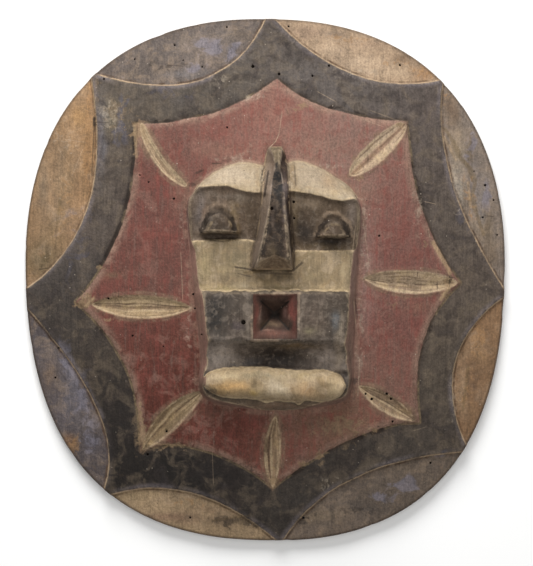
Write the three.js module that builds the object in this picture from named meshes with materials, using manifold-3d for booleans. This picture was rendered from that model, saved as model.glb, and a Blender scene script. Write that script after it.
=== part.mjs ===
// Round wooden shield with a carved face, one solid of wood.
// It lies on the edge of its hollow back: +Z is the way the face looks, +Y is the top of the face,
// +X is to the right seen from the front. Millimetres. z = 0 is the plane of the back edge.
import * as THREE from 'three';
import { mergeVertices } from 'three/addons/utils/BufferGeometryUtils.js';
import { ConvexGeometry } from 'three/addons/geometries/ConvexGeometry.js';
import Module from 'manifold-3d';

const wasm = await Module();
wasm.setup();

// ---- Driving dimensions ----------------------------------------------------------------------

// Outline: between an ellipse and a rounded square, with the slight unevenness of hand carving.
const HALF_WIDTH = 275.8;
const HALF_HEIGHT = 292.3;
const SQUARENESS = 2.67; // 2 is an ellipse, larger is squarer
// Shallow waves round the edge: how many, how high in mm, and the angle of a crest in degrees.
const WAVES = [
  { count: 1, height: 1.3, turn: 114 },
  { count: 2, height: 4.2, turn: -83.5 },
  { count: 3, height: 1.3, turn: 37 },
  { count: 4, height: 4.8, turn: 1 },
  { count: 5, height: 0.5, turn: 16.4 },
];
const CENTRE_SHIFT = [0.96, -0.47]; // brings the uneven outline's box back onto the origin

// Board: a shallow dome, hollow behind.
const RIM = 14; // height of the outer edge
const RISE = 50; // how far the middle of the dome stands above the edge
const HOLLOW = 48; // depth of the hollow back at its middle
const HOLLOW_REACH = 0.945; // share of the radius where the hollow meets the back edge
const EDGE_ROUND = 2;
const TURNS = 72;
const RINGS = 8;

// Bands: the dark star stands on the outer segments, the red star stands on the dark one.
const DARK_STEP = 2;
const RED_STEP = 1.6;
const BAND_DEPTH = 6; // how far each band is sunk into what it stands on
const ARC_STEPS = 8;

// Each star tip: compass angle in degrees and distance as a share of the outline there. Then the
// arc that runs on to the next tip, anticlockwise: how far it dips inwards and leans along, in mm.
const DARK_STAR = [
  { angle: 89.5, reach: 1.025, dip: 50.9, skew: -22.6 },
  { angle: 130.2, reach: 1.015, dip: 48.8, skew: 32.4 },
  { angle: 183.5, reach: 1.049, dip: 38.6, skew: 61.5 },
  { angle: 232.8, reach: 1.034, dip: 33.5, skew: -18.3 },
  { angle: 273.2, reach: 1.012, dip: 32.6, skew: -24.6 },
  { angle: 319.9, reach: 1.019, dip: 41.4, skew: 4.3 },
  { angle: 356.6, reach: 1.014, dip: 26.2, skew: 30.5 },
  { angle: 408.5, reach: 1.012, dip: 33.3, skew: -16.5 },
];
const RED_STAR = [
  { angle: 86.8, reach: 0.764, dip: 15.1, skew: -4.9 },
  { angle: 129.7, reach: 0.75, dip: 22.6, skew: 9.4 },
  { angle: 186.6, reach: 0.787, dip: 23.2, skew: -3.5 },
  { angle: 233.8, reach: 0.791, dip: 20.8, skew: -26.1 },
  { angle: 272, reach: 0.787, dip: 15, skew: 22.9 },
  { angle: 317.1, reach: 0.787, dip: 21.9, skew: 17.2 },
  { angle: 359.1, reach: 0.805, dip: 15.2, skew: -12.3 },
  { angle: 408.5, reach: 0.79, dip: 14.2, skew: 20.3 },
];

// Leaves: lens-shaped gouge cuts from a star tip in towards the face.
const LEAF_FLATNESS = 0.42; // depth of a cut as a share of half its width
const LEAF_STEPS = 8;
const LEAF_SIDES = 12;
const LEAVES = [
  { tip: [-143, 176], root: [-86, 107], width: 15 },
  { tip: [159, 176], root: [97, 120], width: 19 },
  { tip: [217, -3], root: [112, 2], width: 23 },
  { tip: [171, -157], root: [107, -123], width: 16 },
  { tip: [9, -234], root: [10, -154], width: 19 },
  { tip: [-141, -193], root: [-73, -128], width: 18 },
  { tip: [-205, -27], root: [-83, -32], width: 25 },
];

// Face: half widths about its own middle line, at the foot on the board and at the crest.
const FACE_X = 11;
const FACE_FOOT = 44;
const FACE_TOP = 104;
const FACE_STATIONS = [
  { y: -147, foot: 50, crest: 44 },
  { y: -140, foot: 72, crest: 66 },
  { y: -119, foot: 88, crest: 76 },
  { y: -68, foot: 92, crest: 67 },
  { y: 0, foot: 97, crest: 76 },
  { y: 50, foot: 99, crest: 88 },
  { y: 84, foot: 98, crest: 89 },
  { y: 104, foot: 90, crest: 78 },
  { y: 124, foot: 66, crest: 56 },
  { y: 137, foot: 34, crest: 26 },
];

// Face seen from the side: [y, z] from the chin up to the top of the forehead.
const FACE_PROFILE = [
  [-152, 40], [-147, 58], [-143, 74], [-136, 87], [-127, 95], [-117, 98], [-108, 96], // chin
  [-103, 90], [-99, 84], [-83, 84], // recess above the chin
  [-74, 91], [-66, 101], [-15, 101], [-11, 92], // mouth block
  [-9, 86], [34, 81], [44, 79], // cheeks
  [84, 94], [90, 98], [97, 99], [103, 97], // eye plane and brow
  [122, 82], [136, 64], [147, 45], // forehead
];
const RECESS = { x: FACE_X, y: -90, z: 95, half: [66, 14, 19], around: 20, down: 12 };
const MOUTH = { x: 10, y: -39, side: 49, depth: 26, face: 101 };
const CUTTER_OVERLAP = 2; // how far a cutter stands out of what it cuts

// Nose: a wedge with a flat front. Rows run from the top down: y, z, left x, right x.
const NOSE_FRONT = [
  [131, 86, 12, 14],
  [89, 106, 5, 20.5],
  [27, 116, -7, 26.5],
];
const NOSE_BASE = [
  [149, 50, 6, 15],
  [89, 74, -8, 27],
  [12, 74, -17, 30],
];

// Eyelids: half-moon hoods with a groove round a smaller lid.
const LID = { face: 92, foot: 70, groove: 3.5, grooveScale: 0.78, innerScale: 0.58, steps: 10 };
const EYES = [
  { x: -48.5, y: 51, halfWidth: 23, height: 34 },
  { x: 75.5, y: 47, halfWidth: 20, height: 32 },
];

// Back: a hollow for the hand behind the face and a grip bar left standing across it.
const POCKET = { x: 5, y: 0, z: 20, half: [66, 86, 42], around: 32, down: 20 };
const GRIP = { x: 5, width: 28, bevel: 5, bevelSteps: 2 };
const GRIP_PROFILE = [
  [-112, 46], [-78, 10], [-58, 6], [58, 6], [78, 10], [112, 46], // the side away from the board
  [92, 50], [74, 32], [60, 27], [-60, 27], [-74, 32], [-92, 50], // the side towards the board
];

// ---- Helpers ---------------------------------------------------------------------------------

function toSolid(geometry) {
  geometry.deleteAttribute('normal');
  geometry.deleteAttribute('uv');
  const merged = mergeVertices(geometry, 0.001);
  const index = merged.index.array;
  const triangles = [];
  for (let i = 0; i < index.length; i += 3) {
    const [a, b, c] = [index[i], index[i + 1], index[i + 2]];
    if (a !== b && b !== c && c !== a) {
      triangles.push(a, b, c);
    }
  }
  return new wasm.Manifold(new wasm.Mesh({
    numProp: 3,
    vertProperties: new Float32Array(merged.attributes.position.array),
    triVerts: new Uint32Array(triangles),
  }));
}

function toGeometry(solid) {
  const mesh = solid.getMesh();
  const geometry = new THREE.BufferGeometry();
  geometry.setAttribute('position', new THREE.BufferAttribute(mesh.vertProperties, 3));
  geometry.setIndex(new THREE.BufferAttribute(mesh.triVerts, 1));
  geometry.computeVertexNormals();
  return geometry;
}

// Moves every vertex of a geometry by a function of its place.
function bend(geometry, place) {
  const position = geometry.attributes.position;
  const point = new THREE.Vector3();
  for (let i = 0; i < position.count; i += 1) {
    point.fromBufferAttribute(position, i);
    place(point);
    position.setXYZ(i, point.x, point.y, point.z);
  }
  return geometry;
}

// Distance from the middle to the shield's edge in the direction theta.
function outline(theta) {
  const across = (Math.abs(Math.cos(theta)) / HALF_WIDTH) ** SQUARENESS;
  const along = (Math.abs(Math.sin(theta)) / HALF_HEIGHT) ** SQUARENESS;
  return WAVES.reduce(
    (radius, { count, height, turn }) =>
      radius + height * Math.cos(count * (theta - THREE.MathUtils.degToRad(turn))),
    (across + along) ** (-1 / SQUARENESS),
  );
}

function domeHeight(share) {
  return RIM + RISE * (1 - share * share);
}

function hollowHeight(share) {
  return HOLLOW * (1 - (share / HOLLOW_REACH) ** 2);
}

// Height of the board's front at a place given in mm.
function boardHeight(x, y) {
  return domeHeight(Math.hypot(x, y) / outline(Math.atan2(y, x)));
}

// A closed profile of [share of the radius, z], turned about Z and stretched to the outline.
function turned(profile) {
  const points = profile.map(([share, z]) => new THREE.Vector2(share, z));
  const geometry = new THREE.LatheGeometry(points, TURNS);
  geometry.rotateX(Math.PI / 2);
  return toSolid(bend(geometry, (point) => {
    const reach = outline(Math.atan2(point.y, point.x));
    point.x *= reach;
    point.y *= reach;
  }));
}

// A row of [value, f(value)] from the first value to the last, evenly spaced.
function row(first, last, steps, f) {
  return Array.from({ length: steps + 1 }, (_, i) => {
    const value = first + (last - first) * (i / steps);
    return [value, f(value)];
  });
}

// ---- Board and bands -------------------------------------------------------------------------

function makeBoard() {
  const inset = EDGE_ROUND / HALF_WIDTH;
  return turned([
    ...row(0, HOLLOW_REACH, RINGS, hollowHeight),
    [1 - inset, 0],
    [1, EDGE_ROUND],
    [1, RIM - EDGE_ROUND],
    ...row(1 - inset, 0, RINGS, domeHeight),
  ]);
}

// The star's corners joined by arcs that sag inwards.
function starShape(tips) {
  const corners = tips.map(({ angle, reach }) => {
    const theta = THREE.MathUtils.degToRad(angle);
    const distance = reach * outline(theta);
    return new THREE.Vector2(distance * Math.cos(theta), distance * Math.sin(theta));
  });
  const shape = new THREE.Shape();
  shape.moveTo(corners[0].x, corners[0].y);
  tips.forEach(({ dip, skew }, i) => {
    const from = corners[i];
    const to = corners[(i + 1) % corners.length];
    const along = to.clone().sub(from).normalize();
    const inward = new THREE.Vector2(-along.y, along.x);
    const control = from.clone().add(to).multiplyScalar(0.5);
    control.addScaledVector(inward, 2 * dip).addScaledVector(along, skew);
    shape.quadraticCurveTo(control.x, control.y, to.x, to.y);
  });
  return shape;
}

function makeBand(tips, step) {
  const star = new THREE.ExtrudeGeometry(starShape(tips), {
    depth: RIM + RISE + step + CUTTER_OVERLAP,
    bevelEnabled: false,
    curveSegments: ARC_STEPS,
  });
  const slab = turned([
    ...row(0, 1, RINGS, (share) => domeHeight(share) - BAND_DEPTH),
    ...row(1, 0, RINGS, (share) => domeHeight(share) + step),
  ]);
  return toSolid(star).intersect(slab);
}

// A pointed spindle laid along the surface, pressed flat, so it cuts a lens-shaped hollow.
function makeLeaf({ tip, root, width }) {
  const lift = DARK_STEP + RED_STEP;
  const start = new THREE.Vector3(...tip, boardHeight(...tip) + lift);
  const end = new THREE.Vector3(...root, boardHeight(...root) + lift);
  const length = start.distanceTo(end);
  const profile = row(-1, 1, LEAF_STEPS, (t) => (width / 2) * (1 - t * t))
    .map(([t, radius]) => new THREE.Vector2(radius, (length / 2) * t));
  const spindle = new THREE.LatheGeometry(profile, LEAF_SIDES);
  spindle.scale(1, 1, LEAF_FLATNESS);
  const along = end.clone().sub(start).normalize();
  const across = along.clone().cross(new THREE.Vector3(0, 0, 1)).normalize();
  const up = across.clone().cross(along);
  const middle = start.add(end).multiplyScalar(0.5);
  const turn = new THREE.Matrix4().makeBasis(across, along, up).setPosition(middle);
  spindle.applyMatrix4(turn);
  return toSolid(spindle);
}

// ---- Face ------------------------------------------------------------------------------------

// A closed [y, z] outline carried along X.
function alongX(profile, from, to, bevel = 0, bevelSteps = 0) {
  const shape = new THREE.Shape(profile.map(([y, z]) => new THREE.Vector2(y, z)));
  const geometry = new THREE.ExtrudeGeometry(shape, {
    depth: to - from - 2 * bevel,
    bevelEnabled: bevel > 0,
    bevelThickness: bevel,
    bevelSize: bevel,
    bevelOffset: -bevel,
    bevelSegments: bevelSteps,
  });
  geometry.translate(0, 0, from + bevel);
  geometry.applyMatrix4(new THREE.Matrix4().makeBasis(
    new THREE.Vector3(0, 1, 0),
    new THREE.Vector3(0, 0, 1),
    new THREE.Vector3(1, 0, 0),
  ));
  return toSolid(geometry);
}

// The outline of the face as a prism whose sides lean in from the foot to the crest.
function makeFacePrism() {
  const right = FACE_STATIONS.map(({ y }) => new THREE.Vector2(1, y));
  const left = right.map((point) => new THREE.Vector2(-1, point.y)).reverse();
  const geometry = new THREE.ExtrudeGeometry(new THREE.Shape([...right, ...left]), {
    depth: FACE_TOP - FACE_FOOT,
    bevelEnabled: false,
  });
  geometry.translate(0, 0, FACE_FOOT);
  const middleZ = (FACE_TOP + FACE_FOOT) / 2;
  return toSolid(bend(geometry, (point) => {
    const station = FACE_STATIONS.find(({ y }) => Math.abs(y - point.y) < 0.01);
    point.x = FACE_X + point.x * (point.z < middleZ ? station.foot : station.crest);
  }));
}

function makeNose() {
  const points = [...NOSE_FRONT, ...NOSE_BASE].flatMap(([y, z, left, right]) => [
    new THREE.Vector3(left, y, z),
    new THREE.Vector3(right, y, z),
  ]);
  return toSolid(new ConvexGeometry(points));
}

// A half-moon standing on its straight edge, from one height to another.
function halfMoon({ x, y, halfWidth, height }, scale, from, to) {
  const shape = new THREE.Shape();
  shape.absellipse(x, y, halfWidth * scale, height * scale, 0, Math.PI, false, 0);
  const geometry = new THREE.ExtrudeGeometry(shape, {
    depth: to - from,
    bevelEnabled: false,
    curveSegments: LID.steps,
  });
  geometry.translate(0, 0, from);
  return toSolid(geometry);
}

function addEyelid(face, eye) {
  const hood = halfMoon(eye, 1, LID.foot, LID.face);
  const grooveFoot = LID.face - LID.groove;
  const groove = halfMoon(eye, LID.grooveScale, grooveFoot, LID.face + CUTTER_OVERLAP);
  const lid = halfMoon(eye, LID.innerScale, LID.foot, LID.face);
  return face.add(hood.subtract(groove).add(lid));
}

// The mouth: a four-sided pyramid sunk into the mouth block.
function makeMouth() {
  const height = MOUTH.depth + CUTTER_OVERLAP;
  const radius = (MOUTH.side / Math.SQRT2) * (height / MOUTH.depth);
  const cone = new THREE.ConeGeometry(radius, height, 4);
  cone.rotateY(Math.PI / 4);
  cone.rotateX(-Math.PI / 2);
  cone.translate(MOUTH.x, MOUTH.y, MOUTH.face - MOUTH.depth + height / 2);
  return toSolid(cone);
}

function ellipsoid({ x, y, z, half, around, down }) {
  const geometry = new THREE.SphereGeometry(1, around, down);
  geometry.rotateX(Math.PI / 2);
  geometry.scale(...half);
  geometry.translate(x, y, z);
  return toSolid(geometry);
}

function makeFace() {
  const wide = HALF_WIDTH / 2;
  const body = alongX(FACE_PROFILE, FACE_X - wide, FACE_X + wide).intersect(makeFacePrism());
  const withLids = EYES.reduce(addEyelid, body);
  const withNose = withLids.add(makeNose());
  return withNose.subtract(ellipsoid(RECESS)).subtract(makeMouth());
}

// ---- Back ------------------------------------------------------------------------------------

function makeGrip() {
  const { x, width, bevel, bevelSteps } = GRIP;
  return alongX(GRIP_PROFILE, x - width / 2, x + width / 2, bevel, bevelSteps);
}

// ---- Whole shield ----------------------------------------------------------------------------

function makeShield() {
  const bands = makeBand(DARK_STAR, DARK_STEP).add(makeBand(RED_STAR, DARK_STEP + RED_STEP));
  let shield = makeBoard().add(bands);
  LEAVES.forEach((leaf) => {
    shield = shield.subtract(makeLeaf(leaf));
  });
  shield = shield.add(makeFace());
  shield = shield.subtract(ellipsoid(POCKET));
  shield = shield.add(makeGrip());
  return toGeometry(shield).translate(...CENTRE_SHIFT, 0);
}

const shield = new THREE.Mesh(
  makeShield(),
  new THREE.MeshStandardMaterial({ color: 0x6e5246, roughness: 0.8, metalness: 0, flatShading: true }),
);
shield.name = 'shield';

const group = new THREE.Group();
group.add(shield);

export default group;
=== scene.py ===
# %% [markdown]
# # A carved and painted round shield
# The shield is one piece of wood: a domed board, hollow behind, with star-shaped bands cut in low
# steps, a bold mask face standing out of its middle, and a grip left across the hollow back. This
# lesson loads the measured solid, carves a finer surface in the same place with numpy, and paints
# it with procedural earth colours.

import bpy
import numpy as np
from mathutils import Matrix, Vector


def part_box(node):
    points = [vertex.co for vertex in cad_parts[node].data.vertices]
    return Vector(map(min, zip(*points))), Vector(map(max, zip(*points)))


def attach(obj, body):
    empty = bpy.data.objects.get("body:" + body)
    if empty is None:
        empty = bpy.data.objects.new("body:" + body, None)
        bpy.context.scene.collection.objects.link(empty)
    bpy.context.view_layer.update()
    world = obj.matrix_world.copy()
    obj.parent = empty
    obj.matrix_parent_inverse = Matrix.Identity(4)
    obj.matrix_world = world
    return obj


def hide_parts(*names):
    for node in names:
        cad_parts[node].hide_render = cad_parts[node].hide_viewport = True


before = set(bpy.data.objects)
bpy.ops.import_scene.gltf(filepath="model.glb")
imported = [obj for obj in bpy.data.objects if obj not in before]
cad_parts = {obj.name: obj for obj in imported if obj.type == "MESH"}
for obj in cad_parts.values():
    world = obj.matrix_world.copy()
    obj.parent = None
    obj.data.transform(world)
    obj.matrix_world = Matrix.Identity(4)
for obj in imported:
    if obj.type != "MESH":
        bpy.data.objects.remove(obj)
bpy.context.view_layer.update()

low, high = (np.array(corner) * 1000 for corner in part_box("shield"))
SIZE = high - low
MIDDLE = (low + high) / 2
print("shield, mm:", SIZE.round(1), "middle:", MIDDLE.round(2))

# %% [markdown]
# ## The outline
# Seen from the front the shield lies between an ellipse and a rounded square. A superellipse gives
# that in one line, and a few shallow waves round the edge add the unevenness of a shape cut by eye.
# A drawn outline would need hundreds of points and could not be asked for its radius in any
# direction.

# %% Outline, dome and rim
SQUARENESS = 2.67
HALF_WIDTH, HALF_HEIGHT = 275.8, 292.3
# Waves round the edge: how many, how high in mm, and the angle of a crest in degrees.
WAVES = [(1, 1.3, 114), (2, 4.2, -83.5), (3, 1.3, 37), (4, 4.8, 1), (5, 0.5, 16.4)]
SHIFT = np.array([0.96, -0.47])     # the outline's own middle, seen from the box's middle
INSIDE = 0.35                       # the fine surface keeps this far inside the solid's edge
RIM, RISE = 14.0, 50.0              # height of the edge, and of the dome's middle above it
NOSE_TOP = SIZE[2] - 0.4            # the nose is the highest place


def outline(theta):
    """Radius of the edge: a superellipse's radius plus one cosine for each wave."""
    across = (np.abs(np.cos(theta)) / HALF_WIDTH) ** SQUARENESS
    along = (np.abs(np.sin(theta)) / HALF_HEIGHT) ** SQUARENESS
    waves = sum(high * np.cos(many * (theta - np.radians(turn))) for many, high, turn in WAVES)
    return (across + along) ** (-1 / SQUARENESS) + waves - INSIDE


def share_of_radius(x, y):
    """How far out a place is, from 0 at the middle to 1 at the edge."""
    return np.hypot(x, y) / outline(np.arctan2(y, x))


print("outline spans, mm:", 2 * outline(0.0), 2 * outline(np.pi / 2))

# %% [markdown]
# ## Helpers for carving
# A carved surface is a height for every place on the board, so the tools here are small functions
# of x and y in millimetres: a soft step, a rounded join of two heights, a smooth random field for
# the hand's unevenness, and the distance to a closed line, which places every cut and every paint
# edge. Booleans of solids would give knife-sharp joins, and worn wood has none.

# %% Small tools
def step(t):
    """Soft step: 0 below 0, 1 above 1, three t squared minus two t cubed between."""
    t = np.clip(t, 0, 1)
    return t * t * (3 - 2 * t)


def hill(*offs):
    """Gaussian hill: 1 where every off is 0, falling with the sum of their squares."""
    return np.exp(-sum(off**2 for off in offs))


def soft_max(a, b, round_over):
    """The higher of two heights, with the join filled over round_over mm."""
    h = np.clip(0.5 + 0.5 * (a - b) / round_over, 0, 1)
    return b + (a - b) * h + round_over * h * (1 - h)


def soft_min(a, b, round_over):
    """The lower of two heights, with the join worn down over round_over mm."""
    return -soft_max(-a, -b, round_over)


LATTICE = 128


def uneven(x, y, size_x, size_y, seed):
    """Smooth random field from -1 to 1: random values on a lattice, blended by soft steps."""
    table = np.random.default_rng(seed).uniform(-1, 1, (LATTICE, LATTICE))
    u, v = x / size_x + LATTICE / 2, y / size_y + LATTICE / 2
    i, j = np.floor(u).astype(int), np.floor(v).astype(int)
    fu, fv = step(u - i), step(v - j)
    left, right, low_row, high_row = i % LATTICE, (i + 1) % LATTICE, j % LATTICE, (j + 1) % LATTICE
    a, b, c, d = (table[row, column] for row in (low_row, high_row) for column in (left, right))
    return (a + (b - a) * fu) * (1 - fv) + (c + (d - c) * fu) * fv


def loop_distance(x, y, loop):
    """Distance to a closed line, positive inside: the nearest of its straight pieces, with the
    sign from how many pieces a ray along +x crosses."""
    best = np.full(x.shape, 1e9)
    inside = np.zeros(x.shape, bool)
    for (ax, ay), (bx, by) in zip(loop, np.roll(loop, -1, 0)):
        ex, ey = bx - ax, by - ay
        t = np.clip(((x - ax) * ex + (y - ay) * ey) / (ex * ex + ey * ey), 0, 1)
        best = np.minimum(best, (x - ax - t * ex) ** 2 + (y - ay - t * ey) ** 2)
        if ey:
            inside ^= ((ay > y) != (by > y)) & (x < ex * (y - ay) / ey + ax)
    return np.where(inside, 1, -1) * np.sqrt(best)


def smooth_loop(points, per_side=6):
    """A closed Catmull-Rom curve through the points, per_side pieces between neighbours."""
    p = np.array(points, float)
    before, after, last = np.roll(p, 1, 0), np.roll(p, -1, 0), np.roll(p, -2, 0)
    t = np.linspace(0, 1, per_side, endpoint=False)[None, :, None]
    before, p, after, last = (q[:, None] for q in (before, p, after, last))
    curve = 0.5 * (
        2 * p
        + (after - before) * t
        + (2 * before - 5 * p + 4 * after - last) * t**2
        + (3 * p - before - 3 * after + last) * t**3
    )
    return curve.reshape(-1, 2)


print("a field of bumps 10 mm apart, first values:", uneven(np.arange(4) * 5.0, 0.0, 10, 10, 1).round(2))

# %% [markdown]
# ## The star bands
# Two stars with hollow sides are cut in low steps: the dark one reaches the rim with its eight
# points and leaves a lens-shaped field between each pair, and the red one stands on it. Each side
# is a quadratic curve that dips towards the middle and leans to one end, as the carver's own arcs
# do, so a star is eight short rows of numbers.

# %% Star outlines
# Tip angle in degrees, reach as a share of the radius, then dip and lean of the next side in mm.
DARK_STAR = [
    (89.5, 1.025, 50.9, -22.6), (130.2, 1.015, 48.8, 32.4), (183.5, 1.049, 38.6, 61.5),
    (232.8, 1.034, 33.5, -18.3), (273.2, 1.012, 32.6, -24.6), (319.9, 1.019, 41.4, 4.3),
    (356.6, 1.014, 26.2, 30.5), (408.5, 1.012, 33.3, -16.5),
]
RED_STAR = [
    (86.8, 0.764, 15.1, -4.9), (129.7, 0.750, 22.6, 9.4), (186.6, 0.787, 23.2, -3.5),
    (233.8, 0.791, 20.8, -26.1), (272, 0.787, 15, 22.9), (317.1, 0.787, 21.9, 17.2),
    (359.1, 0.805, 15.2, -12.3), (408.5, 0.790, 14.2, 20.3),
]


def star_loop(tips, pieces=14):
    """Each side runs from tip to tip on a quadratic curve: (1-t)^2 a + 2t(1-t) c + t^2 b, with the
    control point c pushed inwards by twice the dip and along by the lean."""
    angle, reach, dip, lean = np.array(tips, float).T
    theta = np.radians(angle)
    radius = (reach * outline(theta))[:, None]
    a = radius * np.stack([np.cos(theta), np.sin(theta)], 1)
    b = np.roll(a, -1, 0)
    along = (b - a) / np.linalg.norm(b - a, axis=1, keepdims=True)
    inward = np.stack([-along[:, 1], along[:, 0]], 1)
    c = (a + b) / 2 + 2 * dip[:, None] * inward + lean[:, None] * along
    t = np.linspace(0, 1, pieces, endpoint=False)[None, :, None]
    curve = (1 - t) ** 2 * a[:, None] + 2 * t * (1 - t) * c[:, None] + t**2 * b[:, None]
    return curve.reshape(-1, 2)


DARK_LOOP, RED_LOOP = star_loop(DARK_STAR), star_loop(RED_STAR)
print("star loops:", len(DARK_LOOP), len(RED_LOOP), "pieces")

# %% [markdown]
# ## The leaves
# Seven narrow leaves are gouged from the red star's tips towards the face: lens shapes with two
# sloping walls that meet along a line. Each is laid out along its own axis, so one function cuts
# them all, and a bow bends the crescent at the upper left.

# %% Leaf shapes
# Tip, root, full width, sideways bow, depth, share of the width that is flat, and fullness: below
# 1 the lens is blunt, above 1 it is sharp. The last number is where its dark line runs, from -1 at
# one edge to 1 at the other, and 9 is no line.
LEAVES = [
    ((-142.5, 179), (-90, 106), 13.0, -7.5, 2.0, 0.30, 0.36, 9),
    ((159.3, 178.7), (95, 118.4), 24.5, 0.6, 2.8, 0.30, 0.50, 9),
    ((219, -2.9), (110.5, 1.8), 27.0, 1.5, 4.4, 0.05, 0.72, 0.16),
    ((170, -160.2), (105, -119.7), 20.5, 0.3, 3.4, 0.15, 0.66, -0.05),
    ((8, -237), (10.8, -153), 20.0, 2.0, 3.4, 0.10, 0.75, 0.42),
    ((-141.3, -194), (-70.8, -125.8), 25.5, 3.7, 3.8, 0.08, 0.72, 0.06),
    ((-199, -27.4), (-84.3, -31.1), 27.0, -1.0, 4.4, 0.30, 0.80, 0.20),
]
NEAR_LEAF = 26.0                    # a place further from every leaf than this is not asked


def leaf_fields(x, y):
    """For the leaf near each place: cut depth, distance from its axis, half its width there, the
    place of its dark line, and its number. The lens is width / 2 times 4t(1-t) to the power of
    fullness. Away from all leaves the half width is well below 0."""
    cut, off = np.zeros(x.shape), np.full(x.shape, NEAR_LEAF)
    half, dark_line, number = np.full(x.shape, -20.0), np.full(x.shape, 9.0), np.zeros(x.shape)
    for i, (tip, root, width, bow, depth, flat, fullness, line) in enumerate(LEAVES):
        axis = np.subtract(root, tip)
        length = np.hypot(*axis)
        ux, uy = axis / length
        t = ((x - tip[0]) * ux + (y - tip[1]) * uy) / length
        lens = np.clip(4 * t * (1 - t), 0, 1)
        side = (y - tip[1]) * ux - (x - tip[0]) * uy - bow * lens
        beyond = np.maximum(-t, t - 1) * length
        wide = np.where(beyond > 0, -beyond, width / 2 * lens**fullness)
        near = (np.abs(side) < NEAR_LEAF) & (beyond < NEAR_LEAF)
        centre = line if abs(line) < 1 else 0
        place = side / np.maximum(wide, 0.5)
        share = np.where(place > centre, (1 - place) / (1 - centre), (1 + place) / (1 + centre))
        walls = np.clip(share / (1 - flat), 0, 1)
        cut = np.where(near & (wide > 0), depth * walls * lens**0.3, cut)
        off, half = np.where(near, side, off), np.where(near, wide, half)
        dark_line, number = np.where(near, line, dark_line), np.where(near, i, number)
    return cut, off, half, dark_line, number


print("leaves:", len(LEAVES))

# %% [markdown]
# ## The face
# The face is a bold block: a brow that slopes back to the board at the top, a sunk eye plane with
# hooded lids, a wedge of a nose, a mouth block with a four-sided pit, a scooped recess and a loaf
# of a chin. Its side profile gives the height along the middle, and the brow, eye and chin lines
# bend that profile from left to right. Sloping side walls then trim it to its foot line.

# %% Face lines
FACE_X = 11.0
FACE_TOP_LINE = [(-88, 90), (-84, 97), (-74, 111), (-60, 124), (-42, 133), (-23, 136.5), (-4, 133),
                 (14, 133), (30, 138), (42, 137), (57, 132), (74, 123), (88, 112), (101, 97), (107, 84)]
FACE_FOOT = FACE_TOP_LINE + [
    (108, 62), (105, 28), (102, -10), (101, -50), (99, -90), (98, -119), (90, -136), (60, -144),
    (5, -147), (-46, -142), (-68, -134), (-76, -119), (-74, -96), (-76, -66), (-79, -34), (-83, 0),
    (-87, 45), (-89, 72),
]
FACE_LOOP = smooth_loop(FACE_FOOT[::-1])
BROW_LINE = [(-88, 92), (-75, 103.5), (-58, 105), (-43, 104.5), (-30, 101), (-14, 97.5), (10, 97),
             (30, 98.5), (45, 97), (60, 94.5), (74, 90.5), (86, 88.5), (97, 91), (108, 88)]
EYE_FOOT_LINE = [(-90, 43), (-76, 45), (-20, 46), (5, 40), (30, 34), (108, 33)]

# Side view, y and height: chin foot, recess, mouth block, cheeks, eye plane, brow, forehead.
PROFILE = np.array([
    (-152, 50), (-147, 57), (-143, 66), (-139, 76), (-132, 79), (-104, 79), (-101, 83), (-84, 84),
    (-75, 91), (-66.5, 101), (-64, 101.5), (-16, 101.5), (-13.5, 100), (-9.5, 88), (-7, 86.5),
    (30, 83.5), (42, 83), (44.5, 78), (50, 79), (84, 92), (93, 94.5), (97, 99.5), (101, 98.5),
    (112, 91), (124, 79), (132, 68), (137, 57), (150, 46),
])
CHEEK_AT, EYE_AT, BROW_AT, CROWN_AT = -9, 44, 97, 137   # where the profile turns at each of them
# How steeply the side walls climb from the foot line, by y: rise over run.
WALL_SLOPE = [(-147, 3.2), (-120, 4.0), (-104, 3.4), (-92, 2.4), (-74, 2.6), (-60, 3.2), (-16, 3.2),
              (-8, 2.2), (34, 2.0), (48, 4.2), (60, 7.0), (96, 10.0), (140, 12.0)]


def along_line(x, line):
    """Value of a line of (x, value) points at x."""
    px, value = np.array(line, float).T
    return np.interp(x, px, value)


def profile_height(y, wear=1.1):
    """Height of the side profile at y, its corners worn by a running average of wear mm."""
    fine = np.arange(-160, 160, 0.25)
    raw = np.interp(fine, *PROFILE.T)
    window = np.exp(-0.5 * (np.arange(-5, 5.1, 0.25) / wear) ** 2)
    return np.interp(y, fine, np.convolve(raw, window / window.sum(), "same"))


# %% [markdown]
# ### Nose
# The nose is a long wedge left standing when the eye plane was cut down on both sides of it. Rows
# from the foot up give its front and its two foot lines, and the walls fall between them.

# %% Nose
# Rows from the foot up: y, height of the front, its middle, half its width, and both foot lines.
NOSE_ROWS = np.array([
    (11.5, 86, 9.0, 19.5, -16.6, 30.0), (28, 116, 9.7, 17.0, -15.5, 30.6),
    (44, 114.6, 10.8, 14.2, -11.7, 29.4), (67, 110.5, 12.2, 10.8, -7.8, 27.8),
    (89, 106, 12.7, 7.7, -5.0, 26.0), (111, 95.5, 12.6, 5.3, -3.3, 25.0),
    (128, 87.5, 13.0, 2.4, -2.8, 24.0), (140, 81, 12.5, 4.0, -0.8, 22.5),
    (146, 74, 11.5, 6.0, 0.8, 20.5), (151, 58, 11.0, 6.5, 3.5, 18.0),
])
NOSE_FOOT = 11.5


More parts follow.
